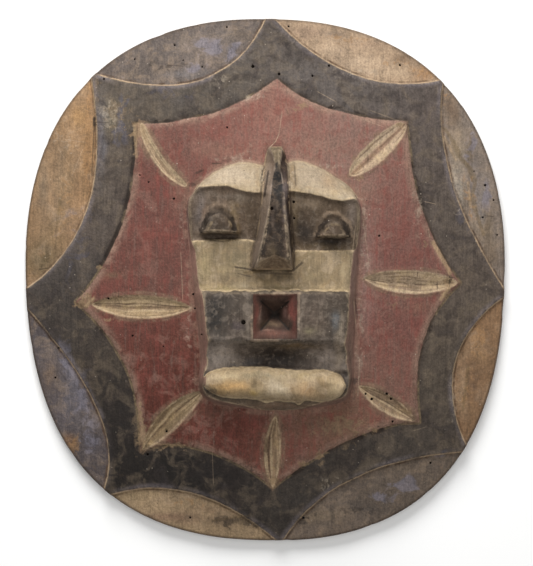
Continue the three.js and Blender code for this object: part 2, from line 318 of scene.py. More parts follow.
def nose_fields(x, y, base):
    """Base with the nose on it: a flat front whose lower edge is a low gable, an underside, and on
    each side a wall that falls to the base along the foot line. Also the distance inside the foot
    lines, inside the front, and above the underside's edge."""
    low_part = step((46 - y) / 16)
    gable = y + 0.42 * np.abs(x - 9.7) * low_part
    front, middle, half, left, right = (
        np.interp(row_y, NOSE_ROWS[:, 0], NOSE_ROWS[:, column])
        for column, row_y in ((1, gable), (2, y), (3, y), (4, y), (5, y))
    )
    front = np.minimum(front, NOSE_TOP) - 2.2 * step((130 - y) / 20) * step((y - 98) / 16)
    off = x - middle
    past = np.maximum(np.abs(off) - half, 0)
    reach = np.where(off < 0, middle - half - left, right - middle - half)
    down = np.clip(past / reach, 0, 1) ** 0.8
    inside = np.minimum(np.minimum(x - left, right - x), np.minimum(y - NOSE_FOOT, 151 - y))
    height = base + (np.maximum(front - base, 0)) * (1 - down) * step(inside / 1.2 + 0.5)
    ditch = 1.4 * hill((inside + 1.2) / 1.6) * step((y - 8) / 6)
    return height - ditch, inside, half - np.abs(off), gable - 28


print("nose stands up to, mm:", NOSE_ROWS[:, 1].max())

# %% [markdown]
# ### Eyelids
# Each eye is a half-moon hood with an arched groove, which a gouge makes in one sweep, and a ball
# left inside it. Two rows of sizes serve one function, so both are cut the same way.

# %% Eyelids
EYES = [  # middle x, straight lower edge y, half width, height, and where the lid's ball sits
    (-50.5, 52.5, 23.5, 37.0, -0.10),
    (75.0, 47.6, 20.7, 32.0, 0.02),
]
HOOD_AT, GROOVE_AT = 89.5, 0.76     # height of the hood, and the groove's share of the way out


def eyelid_height(x, y, base):
    """Base with the two hoods: a half-moon with a straight foot that swells out of the eye plane,
    an arched groove, and a ball under it. A hollow is scooped out below the foot. Also the share
    of the way out from the ball's middle, which the paint's arcs follow."""
    z, arch = base, np.full(x.shape, 9.0)
    for middle, foot, half, height, ball_off in EYES:
        foot = foot + 0.9 * uneven(x, y, 9, 30, 61)
        u, v = (x - middle) / half, (y - foot) / height
        rho = np.hypot(u, np.maximum(v, 0))
        inner = np.hypot(u - ball_off, np.maximum(v, 0) * 1.05)
        over = (1 - rho) * 0.8 * half
        hood = HOOD_AT + 3.5 * np.clip(v, 0, 1) - 2.5 * u * u
        groove = hill((inner - GROOVE_AT) / 0.11) * step((y - foot) / 5)
        ball = np.clip(1 - (inner / 0.70) ** 2, 0, 1) ** 0.7
        ripple = 0.35 * np.cos(22 * rho) * step((rho - 0.2) / 0.3)
        shape = hood - 3.2 * groove + 3.4 * ball + ripple
        z = z + (shape - z) * step(over / 7 + 0.15) * step((y - foot) / 3.0 + 0.5)
        below = step((foot + 0.5 - y) / 1.6) * step((y - foot + 10) / 7) * np.clip(1 - u**4, 0, 1)
        z = z - 3.2 * below
        arch = np.minimum(arch, np.where(v > -0.03, inner, 9))
    return z, arch


print("eyelids:", len(EYES), "widths, mm:", [2 * half for _, _, half, _, _ in EYES])

# %% [markdown]
# ### Mouth and chin
# The mouth is four slanting knife cuts that meet in a point, so its depth is the nearest side's
# share of the way in. The chin is a loaf with rounded ends and lumps that the knife left.

# %% Mouth and chin
# The pit's four sides, where its walls meet, how deep it is, and the share that the bevel takes.
MOUTH_LEFT, MOUTH_RIGHT, MOUTH_TOP, MOUTH_BOTTOM = -14.5, 35.0, -15.0, -65.7
MOUTH_POINT, MOUTH_DEPTH, MOUTH_BEVEL = (9.5, -37.5), 26.0, 0.36
CHIN_MIDDLE, CHIN_HALF, CHIN_HEIGHT, CHIN_TOP = (9.0, -117.6), (80.0, 18.0), 17.5, 79.5
SCOOP_DEPTH = 13                    # how far the recess over the chin is hollowed at its middle


def mouth_fields(x, y):
    """Depth of the mouth's pit: four walls from its sides to one point, gentle over the bevel and
    steep within. Also the share of the way in, and how much nearer a side wall is than the top or
    bottom one."""
    mx, my = MOUTH_POINT
    across = np.minimum((x - MOUTH_LEFT) / (mx - MOUTH_LEFT), (MOUTH_RIGHT - x) / (MOUTH_RIGHT - mx))
    along = np.minimum((MOUTH_TOP - y) / (MOUTH_TOP - my), (y - MOUTH_BOTTOM) / (my - MOUTH_BOTTOM))
    way = np.minimum(across, along)
    depth = np.interp(way, [0, MOUTH_BEVEL, 0.8, 1], [0, 4.5, 22, MOUTH_DEPTH])
    return depth, way, along - across


def chin_fields(x, y):
    """Height of the chin's loaf, with rounded ends and a slight tilt, and distance inside it."""
    u = (x - CHIN_MIDDLE[0]) / CHIN_HALF[0]
    middle = CHIN_MIDDLE[1] - 3.4 * u + 1.2 * np.abs(u) + 1.6 * uneven(x, y, 26, 60, 13)
    thick = CHIN_HALF[1] * (1 + 0.07 * uneven(x, y, 13, 30, 15))
    v = (y - middle) / (thick * np.clip(1 - np.abs(u) ** np.where(u > 0, 8, 4.5), 0.02, 1) ** 0.5)
    loaf = CHIN_TOP + CHIN_HEIGHT * np.clip(1 - np.abs(v) ** 2.6, 0, 1) ** 0.55
    loaf = loaf + 1.5 * uneven(x, y, 17, 14, 14) + 0.5 * uneven(x, y, 7, 6, 16)
    return loaf, (1 - np.maximum(np.abs(v), np.abs(u) ** 4)) * CHIN_HALF[1]


print("mouth, mm:", MOUTH_RIGHT - MOUTH_LEFT, "wide,", round(MOUTH_TOP - MOUTH_BOTTOM, 1), "high")

# %% [markdown]
# ### The face put together
# The parts are joined in the order in which they were cut: profile, recess, eyelids, chin, mouth,
# and then the side walls and the nose. The distances for the paint come out of the same sums.

# %% Whole face
def face_fields(x, y, board):
    """Height of the face over the board, and the distances that its paint follows."""
    wobble = uneven(x, y, 22, 30, 11) + 0.5 * uneven(x, y, 8, 10, 12)
    brow = along_line(x, BROW_LINE) + 0.8 * wobble
    eye = along_line(x, EYE_FOOT_LINE) + 0.6 * wobble
    crown = along_line(x, FACE_TOP_LINE)
    over_brow = BROW_AT + (y - brow) * (CROWN_AT - BROW_AT) / np.maximum(crown - brow, 4)
    in_eye = EYE_AT + (y - eye) * (BROW_AT - EYE_AT) / (brow - eye)
    in_cheek = CHEEK_AT + (y - CHEEK_AT) * (EYE_AT - CHEEK_AT) / (eye - CHEEK_AT)
    ledge = y + 6.0 * hill((x - 18) / 42, (y + 72) / 12)
    below_eye = np.where(y > CHEEK_AT, in_cheek, ledge)
    z = profile_height(np.where(y > brow, over_brow, np.where(y > eye, in_eye, below_eye)))
    z = z - 0.00055 * (x - FACE_X) ** 2 * step((y + 20) / 10)
    z = z - 0.30 * np.maximum(x - 70, 0) * step((y + 72) / 6) * step((-8 - y) / 6)
    scoop = hill((x - 14) / 44) * step((y + 104) / 9) * step((-66 - y) / 12)
    z = z - SCOOP_DEPTH * scoop
    z, arch = eyelid_height(x, y, z)
    loaf, chin = chin_fields(x, y)
    z = soft_max(z, np.where(chin > -1, loaf, 0), 1.6)
    pit, way, beside = mouth_fields(x, y)
    mouth = way * 24
    collar = 1.1 * hill((mouth + 2.2) / 1.8) * (beside > 0)
    z = np.where(mouth > -4, soft_min(z + collar, 101.8 - np.where(mouth < 0, mouth, pit), 0.8), z)
    z = z + 0.45 * wobble

    foot = loop_distance(x, y, FACE_LOOP)
    wall = board + along_line(y, WALL_SLOPE) * (foot + 0.6 * wobble)
    crest = z - wall
    over = soft_max(board, soft_min(z, wall, 2.4), 1.2)
    height = np.where(foot > -4, over, board)
    height, nose, nose_front, nose_low = nose_fields(x, y, height)
    drips = 1.3 * uneven(x, y, 11, 40, 71) + 0.7 * uneven(x, y, 4, 12, 72)
    cream = np.maximum(y - brow, np.minimum(eye - y, y + 12.5 + drips))
    chin = chin + 4 * hill((x - 1) / 7, (y + 137) / 5) + 0.8 * drips
    chin = chin + 5 * hill((x - 37) / 4, (y + 139) / 7)
    bare_top = (np.maximum(crest, 4.4 + 0.8 * wobble - foot) - crest) * step((y - 95) / 22)
    paint = dict(foot=foot, crest=crest + bare_top, cream=np.maximum(cream, chin), arch=arch, nose=nose,
                 nose_front=nose_front, nose_low=nose_low, mouth=mouth, beside=beside)
    return height, paint


print("face, mm:", np.ptp(np.array(FACE_FOOT), 0), "wide and high at its foot")

# %% [markdown]
# ## The whole front
# Board, bands, leaves and face come together in one height function. The board's own surface has
# long shallow tool facets along the grain, the bands end in worn steps with a small ditch at the
# foot, and the lens fields sink a little towards their inner edge. The same function also returns
# every distance that the paint needs, so that paint and carving can never drift apart.

# %% Height of the front
DARK_STEP, RED_STEP = 2.0, 1.8


def front_fields(x, y):
    """Height of the front at x, y in mm, and a dict of distances for the paint."""
    s = share_of_radius(x, y)
    dark = loop_distance(x, y, DARK_LOOP) + 0.7 * uneven(x, y, 26, 34, 1)
    red = loop_distance(x, y, RED_LOOP) + 0.9 * uneven(x, y, 22, 30, 2)
    board = RIM + RISE * (1 - s * s)
    board = board + 0.55 * uneven(x, y, 30, 60, 3) + 0.22 * uneven(x, y, 9, 26, 4)
    board = board - 1.3 * np.exp(-np.maximum(-dark, 0) / 14) * (dark < 0)
    board = board + (DARK_STEP + 1.3) * step((dark + 0.5) / 1.7)
    board = board + RED_STEP * step((red + 0.6) / 4.2) - 0.5 * hill((red + 1.4) / 1.5)
    cut, leaf_off, leaf_half, leaf_line, leaf_number = leaf_fields(x, y)
    lip = 0.6 * hill((leaf_half - np.abs(leaf_off)) / 1.8)
    board = board - cut + lip
    height, paint = face_fields(x, y, board)
    paint.update(dark=dark, red=red, edge=s)
    paint.update(leaf_off=leaf_off, leaf_half=leaf_half, leaf_line=leaf_line, leaf=leaf_number)
    return height, paint


print("cheek and field stand at, mm:", front_fields(np.array([60.0, 150.0]), np.zeros(2))[0].round(1))

# %% [markdown]
# ## A grid that follows the cuts
# The front is one grid of rows and columns, closer together across the face. Pressing its square
# border onto the round outline, more strongly towards the edge, keeps every cell four-sided. Then
# each vertex near a carved line slides towards it, so the low steps come out crisp without a dense
# mesh everywhere. A voxel remesh would spend its faces evenly and blur them.

# %% Grid of the front
FINE, COARSE = 1.6, 2.8             # spacing across the face and outside it, in mm
EDGE_INSET = 3.0                    # the grid stops this far inside the outline
PULL, PULL_REACH = 0.62, 9.0        # share of the way to a line that a place slides, and from how far
FINE_ACROSS, FINE_UP = (-92, 112), (-150, 142)              # the face's stretch of the grid


def spaced(half, fine_from, fine_to, blend=24.0):
    """Places from -half to half, FINE apart in the fine stretch and COARSE apart outside it."""
    x = np.linspace(-half, half, 8001)
    away = np.clip(np.maximum(fine_from - x, x - fine_to) / blend, 0, 1)
    count = np.concatenate([[0], np.cumsum(np.diff(x) / (FINE + (COARSE - FINE) * away[1:]))])
    steps = 2 * int(round(count[-1] / 2))
    return np.interp(np.linspace(0, count[-1], steps + 1), count, x)


def press_to_outline(x, y):
    """Scales each place outwards or inwards: by the outline's radius over the square's radius at
    the border, fading with the square of the way in."""
    m = np.maximum(np.abs(x) / HALF_WIDTH, np.abs(y) / HALF_HEIGHT)
    radius = np.maximum(np.hypot(x, y), 1e-9)
    edge = outline(np.arctan2(y, x)) - EDGE_INSET
    scale = 1 + (edge * m / radius - 1) * m**2
    return x * scale, y * scale, m


def pull_to_line(x, y, free, loop):
    """Slides places within PULL_REACH of a line towards it, along the distance's own slope."""
    d = loop_distance(x, y, loop)
    gx = loop_distance(x + 0.5, y, loop) - d
    gy = loop_distance(x, y + 0.5, loop) - d
    size = np.maximum(np.hypot(gx, gy), 1e-6)
    move = -PULL * d * np.clip(1 - np.abs(d) / PULL_REACH, 0, 1) * free
    return x + move * gx / size, y + move * gy / size


columns = spaced(HALF_WIDTH, *FINE_ACROSS)
rows = spaced(HALF_HEIGHT, *FINE_UP)
grid_x, grid_y, m = press_to_outline(*np.meshgrid(columns, rows))
free = 1 - step((m - 0.9) / 0.09)
for line in (DARK_LOOP, RED_LOOP, FACE_LOOP):
    grid_x, grid_y = pull_to_line(grid_x, grid_y, free, line)
grid_z, _ = front_fields(grid_x, grid_y)
print("front grid:", grid_x.shape, "cells:", (len(columns) - 1) * (len(rows) - 1))

# %% [markdown]
# ## The edge and the hollow back
# From the grid's border the surface goes round the rim in rings, over a flat land that the shield
# lies on, and into the hollow. The rings have as many vertices as the border, far more than the
# plain back needs, so two rings halve the count before the back's spokes run in to the middle.

# %% Rim, land and hollow
HOLLOW, HOLLOW_REACH = 48.0, 0.945
POCKET_MIDDLE, POCKET_HALF = (5.0, 0.0, 20.0), (66.0, 86.0, 42.0)
# Inset from the edge in mm and height as a share of the front's height at the border.
EDGE_RINGS = [(1.7, 0.965), (0.7, 0.88), (0.05, 0.74), (0.0, 0.45), (0.25, 0.2), (1.2, 0.04), (2.6, 0.0)]
BACK_RINGS = 30


def back_height(x, y):
    """Height of the hollow: a dome, the deeper pocket for the hand, and long adze marks."""
    s = share_of_radius(x, y)
    dome = HOLLOW * (1 - (s / HOLLOW_REACH) ** 2)
    cx, cy, cz = POCKET_MIDDLE
    a, b, c = POCKET_HALF
    inside = np.clip(1 - ((x - cx) / a) ** 2 - ((y - cy) / b) ** 2, 0, 1)
    z = soft_max(dome, cz + c * np.sqrt(inside), 5.0)
    depth = step((HOLLOW_REACH - s) / 0.08)
    marks = np.abs(uneven(x + 0.25 * y, y, 17, 34, 21)) + 0.5 * uneven(x, y, 8, 20, 22)
    return np.maximum(z - 1.1 * depth * marks, 0)


def border(a):
    """The grid's outer values in order, anticlockwise from the lower left corner."""
    return np.concatenate([a[0, :-1], a[:-1, -1], a[-1, :0:-1], a[:0:-1, 0]])


edge_x, edge_y, edge_z = border(grid_x), border(grid_y), border(grid_z)
turn = np.arctan2(edge_y, edge_x)
nick = np.clip(uneven(90 * np.cos(turn), 90 * np.sin(turn), 6, 6, 31) - 0.45, 0, 1)


def ring(inset, height):
    """One ring round the edge, inset mm in from the outline, nicked here and there."""
    radius = outline(turn) - inset - 1.6 * nick
    return np.stack([radius * np.cos(turn), radius * np.sin(turn), height], 1)


rim_rings = [ring(inset, edge_z * share) for inset, share in EDGE_RINGS]
print("border:", len(edge_x), "vertices, rings:", len(rim_rings))

# %% [markdown]
# ### Rings across the back
# The hollow needs less detail than the front. Rings shrink towards the middle, and each takes its
# height from the hollow's own function, so the adze marks and the pocket are real relief.

# %% Back spokes
count = len(edge_x)
halved, quartered = turn[::2], turn[::4]
LAND_REACH = 0.965                  # where the flat land has narrowed to half the vertices
back_parts = []
for theta, share in ((halved, LAND_REACH), (quartered, HOLLOW_REACH)):
    radius = share * outline(theta)
    back_parts.append(np.stack([radius * np.cos(theta), radius * np.sin(theta), 0 * theta], 1))
share, theta = np.meshgrid(np.linspace(HOLLOW_REACH, 0, BACK_RINGS + 2)[1:-1], quartered, indexing="ij")
radius = share * outline(theta)
back_x, back_y = radius * np.cos(theta), radius * np.sin(theta)
spokes = np.stack([back_x, back_y, back_height(back_x, back_y)], 2).reshape(-1, 3)
middle = np.array([[0, 0, back_height(np.zeros(1), np.zeros(1))[0]]])
print("back rings:", BACK_RINGS, "of", len(quartered), "vertices; hollow, mm:", middle[0, 2].round(1))

# %% [markdown]
# ## Joining the surface
# Faces are worked out from index grids: quads across the front, quads between rings, a zigzag of
# triangles where the count halves, and a fan at the middle of the back. The result is one closed
# skin with every face looking out.

# %% Face indices
def grid_faces(index):
    """Quads over a 2D array of vertex numbers, turned to look along +z for x, y order."""
    a, b, c, d = index[:-1, :-1], index[:-1, 1:], index[1:, 1:], index[1:, :-1]
    return np.stack([a, b, c, d], -1).reshape(-1, 4)


def ring_faces(upper, lower):
    """Quads between two rings of the same count, looking outwards."""
    return np.stack([upper, lower, np.roll(lower, -1), np.roll(upper, -1)], 1)


def halving_faces(outer, inner):
    """Triangles between a ring and one with half its count."""
    a, b, c = outer[::2], outer[1::2], np.roll(outer, -1)[1::2]
    i, j = inner, np.roll(inner, -1)
    return np.concatenate([np.stack([a, i, b], 1), np.stack([b, i, j], 1), np.stack([b, j, c], 1)])


front_index = np.arange(grid_x.size).reshape(grid_x.shape)
ring_index = [border(front_index)]
start = grid_x.size
for _ in rim_rings:
    ring_index.append(np.arange(start, start + count))
    start += count
half_index = np.arange(start, start + count // 2)
quarter_index = np.arange(start + count // 2, start + count // 2 + count // 4)
start = quarter_index[-1] + 1
spoke_index = np.arange(start, start + len(spokes)).reshape(BACK_RINGS, -1)
middle_index = start + len(spokes)

quads = [grid_faces(front_index)]
quads += [ring_faces(a, b) for a, b in zip(ring_index[:-1], ring_index[1:])]
painted_quads = len(quads[0]) + 4 * count
back_quads = [ring_faces(a, b) for a, b in zip([quarter_index, *spoke_index[:-1]], spoke_index)]
quads = np.concatenate(quads + back_quads)
last = spoke_index[-1]
fan = np.stack([last, np.full(len(last), middle_index), np.roll(last, -1)], 1)
tris = np.concatenate([
    halving_faces(ring_index[-1], half_index), halving_faces(half_index, quarter_index), fan,
])
front_xyz = np.stack([grid_x.ravel(), grid_y.ravel(), grid_z.ravel()], 1)
vertices = np.concatenate([front_xyz, *rim_rings, *back_parts, spokes, middle])
print("vertices:", len(vertices), "triangles:", 2 * len(quads) + len(tris))

# %% [markdown]
# ### From rows to a mesh
# Blender keeps a mesh as flat lists. Filling them from arrays in one go takes a moment, where
# adding a hundred thousand faces one by one would take minutes.

# %% Mesh maker
def new_mesh(name, points, *face_sets, smooth=True):
    """A mesh from vertex rows in mm and arrays of faces, shifted onto the frame, in metres."""
    points = np.array(points, float)
    points[:, :2] += SHIFT
    sizes = np.concatenate([np.full(len(f), f.shape[1]) for f in face_sets])
    corners = np.concatenate([f.ravel() for f in face_sets])
    mesh = bpy.data.meshes.new(name)
    mesh.vertices.add(len(points))
    mesh.vertices.foreach_set("co", (points / 1000).ravel())
    mesh.loops.add(len(corners))
    mesh.loops.foreach_set("vertex_index", corners.astype(np.int32))
    mesh.polygons.add(len(sizes))
    mesh.polygons.foreach_set("loop_start", (np.cumsum(sizes) - sizes).astype(np.int32))
    mesh.update(calc_edges=True)
    mesh.polygons.foreach_set("use_smooth", np.full(len(sizes), smooth))
    mesh.validate()
    return mesh


def new_object(name, mesh):
    """An object at the origin holding the mesh."""
    piece = bpy.data.objects.new(name, mesh)
    bpy.context.scene.collection.objects.link(piece)
    return piece


body_mesh = new_mesh("carved_body", vertices, quads, tris)
kinds = np.ones(len(body_mesh.polygons), np.int32)
kinds[:painted_quads] = 0
print("painted faces:", painted_quads, "bare faces:", int(kinds.sum()))

# %% [markdown]
# ## The grip
# A bar of the same wood is left standing across the pocket, along the grain, so the fingers pass
# behind it. A rounded section is carried along it and flares into the board at both ends. It is
# joined to the body by one boolean, because the gap behind it makes it more than a height.

# %% Grip bar
GRIP_X, GRIP_HALF_LENGTH = 5.0, 108.0
# Height of the bar's middle and its half sizes, and what the flare adds to each towards the ends.
GRIP_RISE, GRIP_WIDE, GRIP_THICK = (16.6, 32), (13.5, 7), (10.2, 1.4)
FLARE_FROM, FLARE_LENGTH = 54, 50


def grip_surface(along=56, around=36):
    """Section: a superellipse of power 3. Carried along y on a line that curves up to the board at
    both ends, growing wider and thicker there."""
    y = np.linspace(-GRIP_HALF_LENGTH, GRIP_HALF_LENGTH, along)[:, None]
    turn = np.linspace(0, 2 * np.pi, around, endpoint=False)[None, :]
    lift = step((np.abs(y) - FLARE_FROM) / FLARE_LENGTH)
    rise, wide, thick = (start + more * lift for start, more in (GRIP_RISE, GRIP_WIDE, GRIP_THICK))
    wide, thick = wide + 0.5 * np.sin(y / 19), thick + 0.3 * np.cos(y / 15)
    c, s = np.cos(turn), np.sin(turn)
    size = (np.abs(c) ** 3 + np.abs(s) ** 3) ** (-1 / 3)
    x = GRIP_X + wide * size * c
    z = rise + thick * size * s
    return np.stack([x, y + 0 * x, z], 2)


section = grip_surface()
rows_along, points_round, _ = section.shape
index = np.arange(rows_along * points_round).reshape(rows_along, points_round)
sides = np.concatenate([ring_faces(a, b) for a, b in zip(index[:-1], index[1:])])
near, far = section[0].mean(0), section[-1].mean(0)
near_at = rows_along * points_round
far_at = near_at + 1
ends = np.concatenate([
    np.stack([index[0], np.roll(index[0], -1), np.full(points_round, near_at)], 1),
    np.stack([np.roll(index[-1], -1), index[-1], np.full(points_round, far_at)], 1),
])
grip_mesh = new_mesh("grip_bar", np.concatenate([section.reshape(-1, 3), [near, far]]), sides, ends)
print("grip, mm:", np.ptp(section.reshape(-1, 3), 0).round(1))

# %% [markdown]
# ## Borer holes
# Old soft wood is dotted with the exit holes of borers: round, clean-edged and about two
# millimetres across. Their places are listed, a few in a cluster and most alone. Each is a
# small tapered peg taken out of the body, so a hole is a real hole from every side.

# %% Borer holes
# x, y and radius in mm.
HOLES = [
    (-105, 270, 1.1), (-45, 291, 1.0), (-95, 252, 0.8), (-73, 244, 1.0), (-151, 254, 0.9),
    (-186, 231, 1.2), (-15, 244, 1.9), (15, 235, 1.6), (26, 292, 1.1), (72, 245, 1.3), (53, 233, 1.3),
    (154, 247, 1.2), (-44, 173, 1.1), (-143, 119, 0.9), (-133, 111, 1.0), (-104, 92, 1.3),
    (128, 50, 1.2), (252, 109, 1.4), (262, 92, 1.1), (249, 72, 1.2), (266, 52, 1.1), (-238, -78, 1.3),
    (-242, -112, 1.2), (-179, -21, 1.2), (-151, -63, 1.2), (-116, -75, 0.8), (-82, -16, 1.2),
    (-80, -32, 1.1), (-72, -61, 1.0), (-25, -47, 2.5), (6.5, 79, 1.9), (31, 87, 1.5), (31.5, 69, 1.3),
    (137, -129, 1.5), (120, -135, 1.6), (142, -135, 1.4), (-113, -172, 1.3), (-135, -199, 1.5),
    (144, -161, 1.2), (189, -210, 1.3), (43, -273, 1.6), (-87, -273, 1.2), (113, -129, 1.2),
    (239, 125, 0.8),
]
hole_x, hole_y, hole_radius = np.array(HOLES, float).T
sides_of_hole = 12
turn_of_hole = np.linspace(0, 2 * np.pi, sides_of_hole, endpoint=False)
wall_x = hole_x[:, None] + hole_radius[:, None] * np.cos(turn_of_hole)
wall_y = hole_y[:, None] + hole_radius[:, None] * np.sin(turn_of_hole)
hole_z = front_fields(hole_x, hole_y)[0]
levels = [(3.0, 1.0), (-2.0, 1.0), (-6.0, 0.75)]
peg_rings = [
    np.stack([
        hole_x[:, None] + (wall_x - hole_x[:, None]) * scale,
        hole_y[:, None] + (wall_y - hole_y[:, None]) * scale,
        np.repeat((hole_z + lift)[:, None], sides_of_hole, 1),
    ], 2)
    for lift, scale in levels
]
pegs = np.stack(peg_rings, 1)
peg_index = np.arange(pegs[..., 0].size).reshape(len(HOLES), len(levels), sides_of_hole)
peg_sides = np.concatenate([
    np.stack([a, b, np.roll(b, -1, 1), np.roll(a, -1, 1)], -1).reshape(-1, 4)
    for a, b in ((peg_index[:, 0], peg_index[:, 1]), (peg_index[:, 1], peg_index[:, 2]))
])
peg_mesh = new_mesh("borer_pegs", pegs.reshape(-1, 3), peg_sides, peg_index[:, 0],
                    peg_index[:, 2, ::-1], smooth=False)
print("holes:", len(HOLES))

# %% [markdown]
# ## One solid
# The boolean modifiers run once and their result is kept as a plain mesh. All three meshes list
# the same three finishes in the same order, so faces keep their finish through the joins.

# %% Join grip and holes
finishes = [bpy.data.materials.new(name) for name in ("painted_wood", "bare_wood", "hole_wall")]
for mesh, kind in ((body_mesh, kinds), (grip_mesh, 1), (peg_mesh, 2)):
    for finish in finishes:
        mesh.materials.append(finish)
    mesh.polygons.foreach_set("material_index", np.zeros(len(mesh.polygons), np.int32) + kind)

body = new_object("body", body_mesh)
cutters = [(new_object("grip", grip_mesh), "UNION"), (new_object("pegs", peg_mesh), "DIFFERENCE")]
for cutter, operation in cutters:
    join = body.modifiers.new(operation.lower(), "BOOLEAN")
    join.operation, join.object, join.solver = operation, cutter, "MANIFOLD"
bpy.context.view_layer.update()
whole_mesh = bpy.data.meshes.new_from_object(body.evaluated_get(bpy.context.evaluated_depsgraph_get()))
whole_mesh.name = "carved_shield"
for piece in (body, *(cutter for cutter, _ in cutters)):
    bpy.data.objects.remove(piece)
shield = new_object("carved_shield", whole_mesh)
whole_mesh.calc_loop_triangles()
print("carved shield:", len(whole_mesh.vertices), "vertices,", len(whole_mesh.loop_triangles), "triangles")

# %% [markdown]
# ## Distances for the paint
# Every vertex now learns how far it is from each carved line, as float attributes in millimetres.
# A distance blends evenly between vertices, so a shader that compares it with a little noise
# paints an edge far sharper than the mesh. One more attribute tells how sunk a place is, from the
# height and its own blurred copy on a regular raster.

# %% Sunk and proud places
RASTER, SUNK_REACH = 1.5, 2.4       # cell of the raster, and reach of the blur, in mm
raster_x = np.arange(-HALF_WIDTH - 12, HALF_WIDTH + 12, RASTER)
raster_y = np.arange(-HALF_HEIGHT - 18, HALF_HEIGHT + 18, RASTER)
raster, _ = front_fields(*np.meshgrid(raster_x, raster_y))
print("raster:", raster.shape, "cells of", RASTER, "mm")


def blurred(height, reach):
    """Gaussian blur by multiplying the Fourier transform with another Gaussian."""
    fy = np.fft.fftfreq(height.shape[0], RASTER)[:, None]
    fx = np.fft.rfftfreq(height.shape[1], RASTER)[None, :]
    kept = np.exp(-2 * (np.pi * reach) ** 2 * (fx**2 + fy**2))
    return np.fft.irfft2(np.fft.rfft2(height) * kept, height.shape)


def sampled(values, x, y):
    """Value of a raster at x, y, blended from its four nearest cells."""
    u = np.clip((x - raster_x[0]) / RASTER, 0, len(raster_x) - 1.001)
    v = np.clip((y - raster_y[0]) / RASTER, 0, len(raster_y) - 1.001)
    i, j = u.astype(int), v.astype(int)
    fu, fv = u - i, v - j
    upper = values[j, i] * (1 - fu) + values[j, i + 1] * fu
    lower = values[j + 1, i] * (1 - fu) + values[j + 1, i + 1] * fu
    return upper * (1 - fv) + lower * fv


# %% [markdown]
# ### Attributes
# The same function that gave the heights is asked once more, at the joined mesh's own vertices.

# %% Attributes on the mesh
xyz = np.empty(len(whole_mesh.vertices) * 3, np.float32)
whole_mesh.vertices.foreach_get("co", xyz)
xyz = xyz.reshape(-1, 3).astype(float) * 1000
px, py = xyz[:, 0] - SHIFT[0], xyz[:, 1] - SHIFT[1]
_, paint = front_fields(px, py)
leaf_number = paint.pop("leaf").astype(int)
paint["sunk"] = sampled(blurred(raster, SUNK_REACH) - raster, px, py)


def write_values(name, values):
    """One float for each vertex of the shield."""
    layer = whole_mesh.attributes.new(name, "FLOAT", "POINT")
    layer.data.foreach_set("value", np.asarray(values, np.float32))


for name, values in paint.items():
    write_values(name, values)
print("attributes:", ", ".join(paint))

# %% [markdown]
# ## Tones of the paints
# No paint is even on an old shield. The sooty band is nearly black at the bottom and brown-grey at
# the top, and the fields between the star's points go from ochre to a cold blue-grey. A short
# table gives each paint's tone by direction, and every vertex gets the blend for its place. Soft
# ovals pull the tone towards one of their own, and towards the bottom they darken it most.

# %% Tones on the mesh
def linear(tone):
    """Tones given as sRGB from 0 to 255, turned into linear light."""
    c = np.asarray(tone, float) / 255
    return np.where(c <= 0.04045, c / 12.92, ((c + 0.055) / 1.055) ** 2.4)


def write_tones(name, tones):
    """One colour for each vertex of the shield, from rows of sRGB tones."""
    rows = np.ones((len(tones), 4), np.float32)
    rows[:, :3] = linear(tones)
    whole_mesh.attributes.new(name, "FLOAT_COLOR", "POINT").data.foreach_set("color", rows.ravel())


def around(tones):
    """Tone for each vertex by direction, evenly blended between the table's rows."""
    angle, *channels = np.array(tones, float).T
    direction = np.degrees(np.arctan2(py, px))
    return np.stack([np.interp(direction, angle, channel, period=360) for channel in channels], 1)


def blend(a, b, share):
    """Tones a where share is 0 and b where it is 1."""
    return np.asarray(a, float) + (np.asarray(b, float) - a) * np.asarray(share)[:, None]


def spot(x, y, reach_x, reach_y):
    """Share of a soft oval patch at each vertex: a Gaussian of both distances. The places are bent
    by a smooth random field first, so no patch keeps a round shape."""
    return hill((bent_x - x) / reach_x, (bent_y - y) / reach_y)


def dabbed(tones, dabs):
    """Tones with soft dabs laid over them in order."""
    for *oval, amount, red, green, blue in dabs:
        tones = blend(tones, (red, green, blue), amount * spot(*oval))
    return tones


bent_x = px + 3.5 * uneven(px, py, 13, 17, 51) + 1.5 * uneven(px, py, 5, 6, 52)
bent_y = py + 3.0 * uneven(px, py, 15, 12, 53) + 1.2 * uneven(px, py, 6, 5, 54)
print("places bent by up to, mm:", np.abs(bent_x - px).max().round(1))

